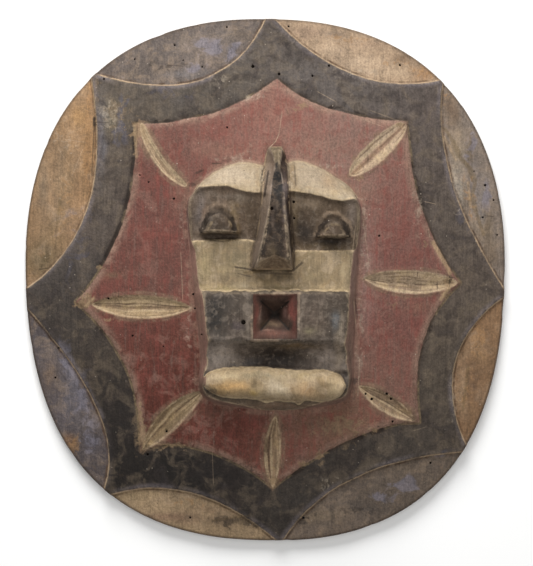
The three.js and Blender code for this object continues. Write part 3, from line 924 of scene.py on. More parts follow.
# %% Soot
# Each row: direction in degrees, then red, green, blue.
SOOT_TONES = [
    (-155, 57, 49, 42), (-135, 36, 30, 26), (-115, 29, 24, 20), (-100, 41, 34, 30), (-90, 55, 48, 42),
    (-75, 56, 49, 43), (-50, 65, 57, 50), (-25, 77, 67, 57), (0, 87, 76, 67), (20, 83, 73, 65),
    (45, 81, 71, 65), (65, 84, 76, 71), (90, 74, 66, 60), (110, 73, 65, 57), (130, 78, 69, 60),
    (160, 84, 73, 65), (180, 66, 59, 54),
]
SOOT_DABS = [  # x, y, reach across, reach up, strength, then red, green, blue
    (-176, 188, 14, 18, 0.75, 112, 102, 84), (-188, 160, 5, 44, 0.7, 103, 100, 106),
    (-158, 118, 7, 50, 0.5, 68, 57, 49), (-186, 78, 14, 26, 0.4, 66, 60, 55),
    (-30, 226, 26, 8, 0.4, 98, 88, 76), (40, 232, 30, 10, 0.3, 98, 92, 90),
    (118, 206, 30, 8, 0.4, 74, 66, 60), (-90, 206, 24, 7, 0.4, 70, 64, 62),
    (12, 250, 20, 16, 0.4, 88, 79, 72), (176, 150, 7, 40, 0.4, 78, 69, 64),
    (-208, -6, 10, 14, 0.5, 92, 80, 70), (226, 0, 12, 14, 0.6, 98, 84, 70),
    (206, 60, 6, 30, 0.3, 66, 58, 52), (196, -60, 12, 30, 0.4, 74, 64, 54),
    (190, -130, 18, 20, 0.4, 86, 76, 64), (80, -226, 26, 8, 0.5, 54, 46, 40),
    (36, -250, 18, 10, 0.4, 60, 54, 50), (-180, -60, 12, 22, 0.4, 64, 55, 48),
    (-60, -226, 26, 8, 0.5, 24, 20, 18), (-110, -214, 26, 8, 0.4, 30, 26, 24),
    (-172, -140, 8, 24, 0.5, 36, 30, 27),
]
write_tones("soot_tone", dabbed(around(SOOT_TONES), SOOT_DABS))
print("soot:", len(SOOT_TONES), "directions,", len(SOOT_DABS), "ovals")

# %% Red
RED_TONES = [
    (-160, 95, 55, 45), (-130, 80, 39, 28), (-100, 86, 46, 35), (-80, 110, 77, 63), (-60, 112, 81, 64),
    (-40, 114, 82, 70), (-20, 111, 74, 65), (0, 111, 75, 66), (20, 114, 79, 70), (45, 121, 90, 79),
    (60, 127, 97, 86), (90, 129, 91, 79), (110, 115, 78, 68), (135, 97, 61, 52), (160, 100, 63, 54),
    (180, 98, 63, 54),
]
RED_DABS = [
    (113, 10, 12, 70, 0.8, 138, 110, 101), (103, -86, 9, 36, 0.7, 128, 102, 90),
    (-90, -20, 8, 60, 0.35, 118, 86, 74), (60, 150, 40, 12, 0.6, 130, 101, 86),
    (-50, 146, 34, 10, 0.5, 128, 98, 82), (-96, 100, 12, 26, 0.5, 124, 96, 80),
    (110, 96, 14, 20, 0.55, 134, 106, 90), (-140, 150, 14, 12, 0.5, 128, 100, 82),
    (10, 190, 18, 20, 0.4, 134, 98, 84), (-60, -150, 50, 6, 0.5, 104, 76, 62),
    (-120, -90, 14, 30, 0.5, 84, 44, 36), (-50, -190, 40, 12, 0.5, 86, 46, 37),
    (-150, -60, 20, 12, 0.4, 84, 48, 40), (84, -166, 28, 12, 0.7, 124, 100, 80),
    (40, -160, 20, 10, 0.5, 104, 78, 62), (36, -200, 14, 16, 0.5, 82, 54, 44),
    (150, 90, 20, 30, 0.4, 122, 80, 70), (176, -30, 18, 10, 0.5, 124, 96, 78),
    (-176, 6, 16, 6, 0.6, 118, 96, 74), (-136, 70, 20, 30, 0.4, 106, 66, 58),
    (140, -60, 18, 24, 0.3, 98, 58, 50), (100, -130, 10, 14, 0.5, 118, 92, 74),
]
write_tones("red_tone", dabbed(around(RED_TONES), RED_DABS))
print("red:", len(RED_TONES), "directions,", len(RED_DABS), "ovals")

# %% Fields
FIELD_TONES = [  # anticlockwise from the top tip
    (94, 84, 78), (141, 112, 82), (84, 76, 76), (151, 128, 99), (102, 89, 78), (127, 98, 71),
    (122, 109, 98), (150, 127, 103),
]
FIELD_DABS = [
    (-123, 245, 20, 13, 0.8, 93, 82, 74), (-158, 222, 14, 10, 0.6, 120, 105, 88),
    (-70, 258, 22, 12, 0.6, 118, 103, 92), (-30, 282, 20, 8, 0.5, 112, 97, 83),
    (-92, 236, 26, 6, 0.5, 116, 112, 113), (-110, 222, 40, 4, 0.5, 96, 84, 76),
    (70, 262, 24, 8, 0.7, 172, 149, 124), (110, 248, 26, 8, 0.7, 174, 151, 126),
    (150, 236, 24, 6, 0.7, 167, 144, 118), (46, 285, 18, 6, 0.7, 130, 108, 90),
    (77, 284, 13, 5, 0.8, 112, 96, 82), (125, 272, 24, 6, 0.7, 138, 115, 94),
    (184, 238, 14, 9, 0.8, 138, 106, 77), (160, 257, 16, 5, 0.7, 122, 98, 76),
    (212, 200, 8, 22, 0.7, 104, 88, 72), (220, 150, 7, 26, 0.6, 146, 126, 100),
    (236, 120, 8, 34, 0.5, 112, 106, 108), (250, 90, 12, 20, 0.5, 112, 98, 84),
    (246, 60, 10, 14, 0.6, 138, 118, 94), (228, 96, 5, 30, 0.5, 92, 74, 56),
    (256, 34, 8, 14, 0.5, 122, 104, 84), (236, -60, 8, 26, 0.6, 146, 120, 94),
    (240, -110, 10, 18, 0.7, 108, 82, 60), (222, -140, 8, 16, 0.7, 132, 108, 84),
    (248, -86, 8, 14, 0.6, 148, 118, 86), (216, -172, 8, 10, 0.8, 116, 82, 54),
    (226, -120, 5, 36, 0.5, 142, 120, 96), (155, -212, 26, 8, 0.6, 106, 92, 78),
    (60, -272, 24, 8, 0.7, 106, 92, 74), (110, -262, 26, 8, 0.6, 78, 70, 64),
    (186, -206, 14, 10, 0.6, 102, 90, 80), (120, -236, 22, 6, 0.5, 84, 74, 66),
    (-150, -246, 22, 8, 0.7, 148, 127, 97), (-112, -274, 34, 6, 0.7, 118, 92, 74),
    (-48, -276, 14, 7, 0.7, 84, 68, 54), (-20, -264, 16, 5, 0.6, 142, 122, 97),
    (-92, -248, 24, 6, 0.5, 136, 117, 94), (-66, -262, 20, 4, 0.5, 122, 98, 76),
    (-248, -110, 8, 18, 0.8, 112, 93, 78), (-226, -184, 8, 8, 0.8, 118, 86, 60),
    (-222, -120, 12, 40, 0.5, 100, 98, 106), (-212, -160, 8, 20, 0.5, 92, 84, 82),
    (-240, -70, 10, 16, 0.6, 98, 90, 88), (-236, -30, 10, 16, 0.6, 90, 78, 68),
    (-206, 150, 5, 60, 0.6, 152, 118, 80), (-236, 120, 10, 40, 0.5, 150, 128, 102),
    (-222, 60, 16, 16, 0.6, 134, 108, 84), (-256, 40, 8, 30, 0.6, 128, 106, 82),
    (-230, 160, 10, 16, 0.5, 154, 122, 88), (-238, 20, 10, 14, 0.5, 122, 104, 86),
    (-198, 206, 8, 10, 0.6, 112, 84, 60), (-214, 100, 6, 30, 0.4, 138, 106, 76),
    (-258, 24, 18, 20, 0.8, 96, 82, 58), (-257, 108, 8, 30, 0.7, 116, 100, 82),
    (-232, 44, 8, 20, 0.5, 116, 94, 68), (-228, 100, 6, 14, 0.6, 118, 96, 72),
    (-244, 76, 7, 12, 0.6, 148, 124, 96), (-218, 140, 5, 16, 0.6, 122, 98, 74),
    (-234, 150, 5, 14, 0.5, 112, 94, 74), (-246, 60, 4, 16, 0.6, 106, 88, 64),
    (-210, 166, 5, 12, 0.5, 126, 96, 66), (-214, 189, 8, 14, 0.7, 158, 122, 80),
    (-203, 130, 3, 34, 0.6, 104, 76, 50), (-236, 80, 5, 22, 0.5, 122, 100, 72),
    (-244, 46, 10, 10, 0.5, 138, 112, 80), (-240, 134, 5, 16, 0.5, 134, 108, 82),
    (-248, 4, 8, 10, 0.6, 104, 90, 70), (-222, 120, 5, 22, 0.4, 154, 126, 92),
    (221, 112, 8, 32, 0.7, 138, 130, 118), (234, 150, 5, 16, 0.6, 108, 88, 62),
    (259, 28, 8, 12, 0.6, 108, 92, 76), (216, 196, 7, 16, 0.6, 110, 88, 70),
    (246, 84, 5, 26, 0.5, 120, 116, 118), (256, 60, 5, 16, 0.5, 110, 92, 70),
]
tip_angles = np.array([tip[0] for tip in DARK_STAR])
direction = np.degrees(np.arctan2(py, px)) % 360
direction = np.where(direction < tip_angles[-1] - 360, direction + 360, direction)
field = (np.searchsorted(tip_angles, direction, side="right") - 1) % 8
write_tones("field_tone", dabbed(np.array(FIELD_TONES, float)[field], FIELD_DABS))
print("fields:", len(FIELD_TONES), "tones,", len(FIELD_DABS), "ovals")

# %% [markdown]
# ### Leaves
# Each leaf has five tones across. Besides its clay and soot they hold painted light: a slope that
# faces the light is painted lighter, and one that faces away is painted darker.

# %% Tones of the leaves
# Five tones across each leaf, from the edge on its right hand (seen from its tip) to its left.
LEAF_TONES_AND_LIGHT = np.array([
    ((126, 104, 84), (139, 117, 93), (145, 124, 99), (150, 130, 104), (142, 120, 96)),
    ((170, 148, 124), (176, 154, 130), (132, 104, 86), (170, 146, 121), (152, 130, 106)),
    ((160, 138, 114), (162, 140, 115), (146, 126, 103), (128, 108, 88), (168, 147, 122)),
    ((120, 98, 78), (132, 110, 88), (112, 92, 74), (134, 112, 90), (150, 128, 104)),
    ((118, 96, 76), (134, 112, 88), (124, 102, 80), (104, 80, 62), (112, 92, 70)),
    ((140, 118, 96), (108, 90, 66), (124, 103, 76), (138, 116, 88), (112, 92, 66)),
    ((150, 127, 97), (146, 124, 95), (108, 88, 68), (156, 134, 105), (134, 112, 86)),
], float)
leaf_place = np.clip(paint["leaf_off"] / np.maximum(paint["leaf_half"], 2.0), -1, 1) * 2 + 2
lower = np.clip(leaf_place.astype(int), 0, 3)
upper_share = step(leaf_place - lower)
write_tones("leaf_tone_and_light", blend(LEAF_TONES_AND_LIGHT[leaf_number, lower], LEAF_TONES_AND_LIGHT[leaf_number, lower + 1],
                               upper_share))
print("vertices in a leaf:", int((paint["leaf_half"] > np.abs(paint["leaf_off"])).sum()))

# %% [markdown]
# ### Face
# The clay was smeared on by hand, thick over the cheeks and thin over the dark bands.

# %% Tones of the face
CLAY_AND_SHADE_DABS = [
    (-45, 117, 26, 12, 0.8, 182, 164, 140), (-34, 103, 18, 5, 0.6, 150, 128, 92),
    (50, 114, 26, 11, 0.5, 152, 134, 112), (78, 98, 18, 5, 0.8, 172, 152, 124),
    (31, 117, 4, 16, 0.8, 116, 96, 70), (-10, 112, 4, 16, 0.6, 136, 116, 88),
    (72, 112, 9, 9, 0.5, 156, 128, 98), (30, 101, 12, 3, 0.6, 140, 118, 84),
    (-68, 16, 8, 16, 0.7, 162, 144, 106), (-56, 39, 22, 4, 0.5, 134, 118, 90),
    # The dark ovals just under the nose, at (8, 5) and (-16, 9), are a painted shadow of the nose.
    (8, 5, 26, 7, 0.85, 82, 68, 50), (-16, 9, 8, 5, 0.6, 92, 78, 58),
    (27, 26, 5, 12, 0.7, 112, 90, 62), (72, 20, 20, 9, 0.6, 154, 133, 102),
    (-62, -9, 15, 4, 0.7, 150, 132, 88), (72, -11, 20, 7, 0.8, 166, 144, 108),
    (-34, 22, 15, 12, 0.6, 116, 104, 80), (-50, 10, 12, 5, 0.6, 158, 140, 106),
    (50, 6, 14, 6, 0.6, 150, 132, 100), (48, 28, 6, 10, 0.6, 120, 104, 76),
    (88, 8, 5, 12, 0.6, 168, 150, 118), (-44, -12, 12, 4, 0.7, 160, 144, 104),
    (-28, -6, 8, 4, 0.5, 150, 140, 120), (20, -11, 20, 4, 0.6, 112, 98, 70),
    (-38, -118, 24, 7, 0.9, 190, 150, 98), (-45, -106, 18, 3.5, 0.8, 184, 164, 130),
    (-67, -115, 6, 6, 0.7, 150, 130, 108), (5, -106, 28, 3.5, 0.8, 130, 119, 94),
    (10, -118, 15, 9, 0.85, 190, 176, 152), (-1, -134, 10, 4, 0.8, 168, 146, 112),
    # The small darker ovals between the chin's lumps, such as at (-10, -114), (27, -122), (64, -124) and
    # (-18, -126), are painted shade.
    (-10, -114, 5, 8, 0.85, 116, 98, 72), (27, -122, 4, 9, 0.85, 120, 100, 74),
    (62, -112, 5, 7, 0.6, 134, 112, 84), (-56, -128, 14, 4, 0.7, 134, 104, 66),
    (24, -133, 16, 3, 0.7, 120, 98, 68), (46, -121, 13, 8, 0.8, 180, 146, 108),
    (80, -120, 8, 11, 0.9, 194, 172, 138), (64, -124, 4, 8, 0.7, 126, 104, 78),
    (-70, -116, 6, 8, 0.8, 184, 160, 128), (-18, -126, 4, 7, 0.6, 130, 108, 78),
    (-12, -125, 5, 4, 0.7, 172, 144, 82), (44, -108, 16, 3, 0.6, 150, 132, 96),
]

# %% Dark bands of the face, with painted shade and light
DUSK_SHADE_AND_LIGHT_DABS = [
    (-15, 73, 9, 28, 0.8, 78, 64, 49), (-74, 78, 8, 24, 0.8, 120, 110, 106),
    (-60, 66, 7, 8, 0.8, 92, 86, 80), (-68, 77, 4, 10, 0.6, 128, 103, 84),
    # The dark ovals along the foot of each lid, at (-49, 47) and (74, 43), are a painted shadow under the
    # lids.
    (-38, 72, 5, 12, 0.6, 126, 106, 70), (-49, 47, 27, 4, 0.95, 46, 36, 25),
    (-28, 92, 8, 5, 0.6, 124, 112, 96), (-32, 58, 3, 12, 0.6, 116, 96, 62),
    (-34, 84, 8, 3, 0.5, 128, 106, 74), (-48, 94, 26, 4, 0.5, 122, 110, 98),
    (33, 74, 5, 28, 0.7, 102, 86, 62), (50, 86, 16, 7, 0.7, 130, 113, 94),
    (43, 55, 10, 11, 0.85, 50, 43, 38), (73, 57, 11, 10, 0.9, 78, 63, 50),
    (-50, 61, 13, 12, 0.9, 58, 46, 35), (74, 43, 17, 3.2, 0.97, 32, 24, 16),
    (66, 37, 32, 3, 0.7, 84, 70, 50), (97, 74, 6, 20, 0.7, 138, 124, 114),
    (60, 51, 6, 2, 0.7, 150, 126, 106), (-56, -39, 14, 22, 0.9, 42, 40, 38),
    (-37, -30, 11, 14, 0.5, 78, 69, 61), (-33, -50, 7, 7, 0.6, 84, 72, 74),
    (-20, -40, 3.2, 24, 0.8, 126, 114, 102), (52, -42, 16, 20, 0.7, 97, 83, 72),
    (83, -56, 4, 18, 0.8, 150, 136, 118), (76, -46, 4, 9, 0.8, 98, 102, 106),
    (50, -58, 7, 5, 0.7, 138, 128, 98), (38, -40, 2.2, 24, 0.8, 138, 124, 110),
    (63, -40, 1.6, 22, 0.5, 122, 108, 96), (-70, -40, 2, 24, 0.5, 112, 104, 98),
    # Under the mouth block, the thin dark oval at (5, -67.5) and the dark one at (12, -86) are painted
    # shade in the recess. The pale ovals at its sides, (-50, -81), (66, -82) and (53, -84), are painted
    # light.
    (5, -67.5, 52, 1.8, 0.8, 36, 28, 19), (-36, -64, 20, 2, 0.6, 116, 102, 92),
    (-50, -81, 17, 14, 0.95, 160, 148, 137), (12, -86, 31, 12, 0.95, 38, 31, 26),
    (-12, -96, 24, 5, 0.7, 56, 53, 53), (-48, -102, 12, 3, 0.8, 94, 92, 102),
    (66, -82, 13, 9, 0.9, 154, 141, 130), (53, -84, 8, 1.6, 0.7, 154, 142, 130),
    (83, -84, 4, 20, 0.8, 146, 130, 112), (33, -73.5, 24, 3, 0.85, 112, 92, 66),
    (-20, -71, 18, 1.6, 0.6, 120, 110, 96), (5, -141, 62, 4, 0.8, 136, 110, 88),
    (60, -136, 18, 3, 0.5, 128, 106, 84),
]

# %% Walls of the face
WALL_DABS = [
    (-84, 78, 10, 22, 0.9, 112, 102, 94), (104, 66, 10, 30, 0.9, 124, 110, 99),
    (97, 0, 10, 50, 0.7, 126, 104, 94), (-80, 98, 12, 9, 0.7, 134, 116, 92),
    (92, -90, 10, 34, 0.7, 126, 106, 92), (-80, -60, 6, 40, 0.4, 122, 100, 80),
    (88, -10, 5, 18, 0.6, 132, 112, 88), (-76, -128, 10, 8, 0.7, 84, 70, 54),
    (10, -150, 60, 5, 0.6, 104, 82, 66),
]


def layered(tone, *layers):
    """One tone all over, with others blended over it: each is a tone and its share everywhere."""
    tones = np.full((len(px), 3), tone, float)
    for layer, share in layers:
        tones = blend(tones, layer, share)
    return tones


clay_tones = layered((157, 141, 118), ((122, 106, 82), 1 - step((py - 52) / 22)),
                     ((150, 130, 100), 1 - step((py + 104) / 20)))
dusk_tones = layered((108, 91, 76), ((88, 73, 58), step((px + 10) / 40)),
                     ((74, 64, 55), 1 - step((py + 4) / 10)), ((92, 82, 74), 1 - step((py + 66) / 4)),
                     ((88, 74, 60), 1 - step((py + 126) / 6)))
# The walls' tones are lifted as painted light, so the steep walls in their own shade do not read as a dark
# ring.
wall_tones_with_painted_light = layered((138, 104, 91), ((134, 108, 90), step((py - 92) / 12)),
                     ((116, 88, 74), 1 - step((py + 120) / 16)))
write_tones("face_clay", dabbed(clay_tones, CLAY_AND_SHADE_DABS))
write_tones("face_dark", dabbed(dusk_tones, DUSK_SHADE_AND_LIGHT_DABS))
write_tones("face_wall", dabbed(wall_tones_with_painted_light, WALL_DABS))
print("ovals on the face:", len(CLAY_AND_SHADE_DABS) + len(DUSK_SHADE_AND_LIGHT_DABS) + len(WALL_DABS))

# %% [markdown]
# ### Nose and mouth
# The nose is dark down its front. Its left wall is painted paler and its right wall darker, as
# painted light from the upper left. The pit of the mouth is painted dark at its top wall, corners and
# point, and pale on its bottom wall: painted shade and light.

# %% Tones of the nose and the mouth
nose_tones = blend((33, 23, 14), (24, 21, 20), step((py - 80) / 30))
nose_tones = blend(nose_tones, (94, 81, 62), step((py - 128) / 8))
# Left wall pale and right wall dark: painted light and shade from the upper left.
nose_walls_lit_and_shaded = blend((114, 98, 84), (48, 35, 28), step((px - 5) / 10))
NOSE_DABS = [
    (6, 32, 5, 12, 0.6, 92, 76, 52), (21, 34, 4, 12, 0.6, 72, 56, 42), (9, 66, 3, 20, 0.5, 84, 70, 62),
    (20.5, 84, 2.2, 36, 0.8, 112, 101, 98), (-3, 110, 3, 14, 0.8, 92, 76, 60),
    (2, 122, 2.5, 10, 0.6, 134, 114, 88), (27.5, 110, 2, 26, 0.6, 134, 116, 88),
    (28, 50, 2, 22, 0.7, 112, 94, 60), (8, 20, 10, 3, 0.7, 134, 114, 90),
]
write_tones("nose_front_tone", dabbed(nose_tones, NOSE_DABS))
write_tones("nose_wall_lit_and_shaded", dabbed(nose_walls_lit_and_shaded, NOSE_DABS))
print("ovals on the nose:", len(NOSE_DABS))

# The pit's tones hold painted light. Its top wall and its point are dark and its bottom wall is pale, as
# light from above would fall, and its corners are darkened as painted shade. Its side walls are red.
MOUTH_SHADE_AND_LIGHT_DABS = [
    (-10, -40, 4, 22, 0.95, 96, 54, 45), (30.5, -38, 4, 22, 0.95, 100, 52, 44),
    (10, -60, 20, 5, 0.9, 108, 72, 60), (10, -18, 20, 3, 0.9, 70, 42, 34),
    (10, -26, 12, 5, 0.8, 82, 62, 50), (-4, -40, 3, 8, 0.7, 122, 102, 90),
    (22, -34, 4, 7, 0.8, 124, 92, 84), (9, -47, 9, 3.5, 0.8, 112, 92, 72),
    (0, -50, 6, 4, 0.6, 58, 48, 30), (23, -50, 4, 6, 0.8, 44, 32, 24),
    (-3, -24, 4, 3, 0.6, 44, 32, 24), (22, -24, 4, 3, 0.6, 40, 28, 22),
    (10, -37, 5, 4, 0.9, 18, 13, 10),
]
write_tones("mouth_tone_and_shading", dabbed(np.full((len(px), 3), (56.0, 39, 31)), MOUTH_SHADE_AND_LIGHT_DABS))

# %% [markdown]
# ## Patches
# Some marks are too particular for noise: a violet bloom of old blue clay, a stain of ochre by the
# rim, dark patches mostly along the bottom, a pale place rubbed by a hand. Each is an oval with a
# strength, listed one by one, and one attribute holds each kind. The shader tears their edges with noise.

# %% Patches by kind
# x, y, reach across, reach up (mm) and strength.
PATCHES = {
    "violet": [
        (-60, 268, 18, 10, 0.9), (-38, 260, 10, 14, 0.8), (-80, 242, 18, 7, 0.5),
        (-107, 212, 25, 9, 0.45), (236, 151, 10, 18, 0.9), (253, 103, 8, 16, 0.8),
        (222, 74, 7, 21, 0.4), (-218, 42, 23, 34, 0.45), (-228, -91, 10, 23, 0.9),
        (-212, -137, 10, 25, 0.8), (-203, -183, 14, 18, 0.8), (160, -234, 18, 8, 1),
        (133, -249, 21, 7, 0.9), (199, -200, 11, 9, 0.4), (39, -74, 23, 11, 0.3),
        (-58, -51, 11, 14, 0.5), (-163, 190, 5, 30, 0.8), (-172, 160, 4, 20, 0.5),
    ],
    "ochre": [
        (-203, 166, 6, 57, 0.9), (-228, 91, 18, 46, 0.35), (-255, 25, 9, 18, 0.2),
        (188, 240, 18, 9, 0.7), (148, 251, 18, 6, 0.5), (96, 276, 34, 6, 0.45),
        (-198, 218, 6, 14, 0.9), (-223, -191, 8, 10, 1), (-171, 192, 16, 16, 0.75),
        (-155, 160, 8, 16, 0.5), (245, -68, 10, 25, 0.7), (231, -126, 14, 27, 0.4),
        (234, 91, 7, 34, 0.5), (-86, -257, 27, 8, 0.45), (85, -166, 30, 11, 0.75),
        (39, 196, 14, 7, 0.6), (208, 211, 7, 10, 0.5), (-147, -169, 5, 25, 0.9),
        (-107, -188, 30, 3, 0.8), (58, -208, 7, 3, 0.9), (96, -188, 7, 5, 0.6), (-210, -26, 9, 6, 0.7),
        (207, -1, 9, 7, 0.7), (154, -151, 11, 6, 0.5), (148, -23, 14, 21, 0.2),
    ],
    "dark_at_step_foot": [
        (-162, 120, 20, 60, 1), (-176, 40, 20, 30, 1), (-110, 170, 40, 14, 0.8),
        (60, 196, 50, 14, 0.7), (-30, 184, 30, 14, 0.6), (162, 110, 14, 50, 0.6),
        (186, 50, 14, 20, 0.5), (-100, -186, 40, 12, 0.4), (30, -222, 20, 12, 0.6),
        (120, -176, 40, 12, 0.6), (190, -50, 14, 40, 0.5), (-190, -50, 14, 20, 0.5),
    ],
    "tan": [
        (-204, -24, 8, 9, 1), (-216, -30, 8, 3, 0.7), (211, -2, 6, 5, 1), (205, -11, 4, 6, 0.8),
        (199, -19, 4, 6, 0.8), (-142, 175, 6, 8, 1), (-148, 157, 3, 22, 0.7), (-141, -178, 5, 15, 1),
        (-144, -150, 3, 22, 0.7), (10, -230, 6, 5, 1), (154, 177, 8, 6, 0.8), (162, -151, 7, 5, 0.8),
        (109, -122, 6, 5, 0.7), (-110, -190, 24, 2.5, 0.7), (58, -198, 10, 4, 0.7),
        (40, -210, 8, 4, 0.7), (-72, -122, 7, 5, 0.8), (110, 118, 6, 5, 0.6), (-152, 168, 6, 6, 0.6),
        (-166, 176, 10, 4, 0.5), (120, -172, 14, 3, 0.6), (-186, 16, 8, 3, 0.6),
        (-178, -44, 12, 3, 0.6), (180, 40, 3, 14, 0.5),
    ],
    "dark_patch": [
        (-85, 107, 5, 5, 0.9), (-60, -126, 9, 5, 0.8), (98, -112, 6, 6, 0.6), (-69, -215, 39, 14, 0.9),
        (-166, -166, 14, 34, 0.6), (-12, -280, 32, 8, 0.7), (28, 272, 16, 9, 0.5),
        (-118, 244, 23, 9, 0.45), (39, -274, 23, 9, 0.5), (-41, -276, 27, 6, 0.6),
        (-29, -228, 30, 18, 0.5), (-235, -57, 9, 14, 0.3), (108, -265, 30, 6, 0.5),
        (-69, 211, 16, 6, 0.3), (91, -97, 5, 46, 0.4),
    ],
    "pale": [
        (-46, 228, 14, 7, 0.5), (218, 114, 5, 39, 0.7), (114, 238, 34, 7, 0.5),
        (213, -137, 5, 30, 0.5), (-22, 148, 11, 18, 0.25), (74, -234, 14, 7, 0.5),
        (-235, 160, 18, 23, 0.25), (-178, 188, 13, 15, 0.8), (-38, 21, 23, 11, 0.3),
        (-38, 121, 23, 7, 0.6), (53, 114, 25, 8, 0.5), (171, 80, 6, 34, 0.5), (-18, 208, 25, 5, 0.5),
        (112, 76, 5, 30, 0.6), (110, 20, 6, 24, 0.6), (106, -40, 6, 26, 0.6), (104, -90, 6, 20, 0.5),
        (-94, 60, 3, 34, 0.4), (-88, -50, 5, 44, 0.35), (-40, 136, 24, 4, 0.5), (70, 128, 20, 5, 0.5),
    ],
}
for kind, rows_of_kind in PATCHES.items():
    write_values(kind, np.clip(sum(amount * spot(*oval) for *oval, amount in rows_of_kind), 0, 1))
print("patches:", {kind: len(rows_of_kind) for kind, rows_of_kind in PATCHES.items()})

# %% [markdown]
# ## Scratches, cracks and smudges
# A thin line cannot be painted on vertices 2 mm apart, but its distance can: across a straight line
# the signed distance changes evenly, so between two vertices it is still exact, and the shader finds
# the line where it passes zero. Each vertex takes the nearest line of each kind. The strength is
# zero a few millimetres away, because there the nearest line changes and the distance jumps.

# %% Lines by kind
LINES = {  # tone, then rows: from x, y to x, y in mm, half width and strength
    "scratch": ((170, 148, 124), [
        (5, 151, 11, 157, 0.5, 0.6), (11, 157, 15, 166, 0.5, 0.6), (15, 166, 18, 190, 0.35, 0.4),
        (-61, -195, -60, -232, 0.3, 0.28), (99, -25, 101, -48, 0.5, 0.7), (182, 89, 192, 87, 0.4, 0.5),
        (-210, 150, -222, 120, 0.35, 0.35), (-232, 162, -208, 158, 0.35, 0.35),
        (168, -172, 182, -168, 0.3, 0.25), (-238, 150, -226, 132, 0.3, 0.3),
        (60, 214, 78, 204, 0.5, 0.3), (96, 20, 100, 60, 0.5, 0.4), (-96, 30, -94, -20, 0.5, 0.3),
        (106, -90, 104, -130, 0.5, 0.4), (110, 66, 116, 20, 0.5, 0.3), (184, 60, 186, 50, 0.5, 0.4),
        (120, 193, 150, 182, 0.7, 0.18), (112, 182, 132, 175, 0.5, 0.25),
    ]),
    "crack": ((44, 34, 26), [
        (101, -24, 103, -42, 0.8, 0.5), (2.5, 121, -1.5, 94, 1.1, 0.85), (-3, 40, -14, 14, 0.7, 0.4),
        (-34, 14.5, -12, 11, 1.0, 0.75), (32, 12, 40, 19, 1.3, 0.7), (-30, 7, -18, 4, 0.7, 0.5),
        (-6, 8, 30, 7, 1.2, 0.5), (-79, 121, -72, 124, 1.2, 0.6), (-60, 132, -52, 132, 0.9, 0.6),
        (-197, 186, -197, 177, 1.6, 0.9), (-197, 181, -182, 180, 0.6, 0.5),
        (-197, 176, -198, 150, 0.9, 0.6), (-198, 150, -199, 120, 0.9, 0.5),
        (-2, 128, -6, 112, 0.8, 0.5), (32, 128, 33, 106, 0.8, 0.5), (209, 3, 209, -6, 0.8, 0.8),
        (209, 3, 214, 3, 0.6, 0.6), (195, -4, 195, -8, 0.7, 0.7), (172, 5, 172, 8, 0.6, 0.6),
        (-262, 12, -250, 14, 0.8, 0.5), (-112, 246, -100, 246, 0.8, 0.4), (252, 74, 262, 73, 0.6, 0.5),
    ]),
    "stain": ((98, 80, 52), [
        (205, 174, 214, 160, 2.0, 0.4), (214, 160, 222, 142, 3.2, 0.5), (222, 142, 234, 128, 2.6, 0.5),
        (234, 128, 240, 112, 3.4, 0.5), (240, 112, 236, 96, 2.2, 0.5), (236, 96, 241, 78, 3.0, 0.5),
        (241, 78, 250, 52, 2.0, 0.4), (-236, 92, -240, 60, 1.6, 0.4), (232, -100, 226, -150, 1.6, 0.4),
        (-60, -276, -20, -270, 1.4, 0.3), (-4, 10, -24, 8, 1.6, 0.4),
    ]),
    "smudge": ((152, 128, 98), [
        (190, 43, 210, 8, 2.4, 0.7), (210, -6, 199, -22, 2.2, 0.7), (204, 164, 218, 138, 1.8, 0.4),
        (-138, -186, -92, -188, 1.0, 0.6), (232, 112, 234, 84, 1.6, 0.5),
        (-150, 176, -147, 140, 1.6, 0.5), (-196, -20, -206, -30, 1.4, 0.5),
        (162, -150, 148, -146, 0.9, 0.5), (4, -226, 10, -234, 0.9, 0.5),
    ]),
}


def write_lines(name, lines):
    """For every vertex, the signed distance to the nearest line over its half width, and how strong
    the line is there: full beside it and nothing past its ends."""
    off, strength, near = np.zeros(len(px)), np.zeros(len(px)), np.full(len(px), 1e9)
    for x0, y0, x1, y1, width, amount in lines:
        length = np.hypot(x1 - x0, y1 - y0)
        way_x, way_y = (x1 - x0) / length, (y1 - y0) / length
        along = (px - x0) * way_x + (py - y0) * way_y
        across = (py - y0) * way_x - (px - x0) * way_y
        beyond = np.maximum(np.maximum(-along, along - length), 0)
        gap = np.hypot(across, beyond)
        here = gap < near
        near = np.where(here, gap, near)
        off = np.where(here, across / width, off)
        fading = step((width + 5 - np.abs(across)) / 2) * step(1.2 - beyond / 2)
        strength = np.where(here, amount * fading, strength)
    write_values(name + "_off", off)
    write_values(name + "_strength", strength)


for name, (tone, lines) in LINES.items():
    write_lines(name, lines)
print("lines:", {name: len(lines) for name, (tone, lines) in LINES.items()})

# %% [markdown]
# ## Wiring shaders
# A material here is dozens of masks and mixes, and writing each node by hand would bury the idea.
# This small class makes a node, fills its sockets with numbers or links, and hands back its first
# output, so that a paint recipe reads from top to bottom.

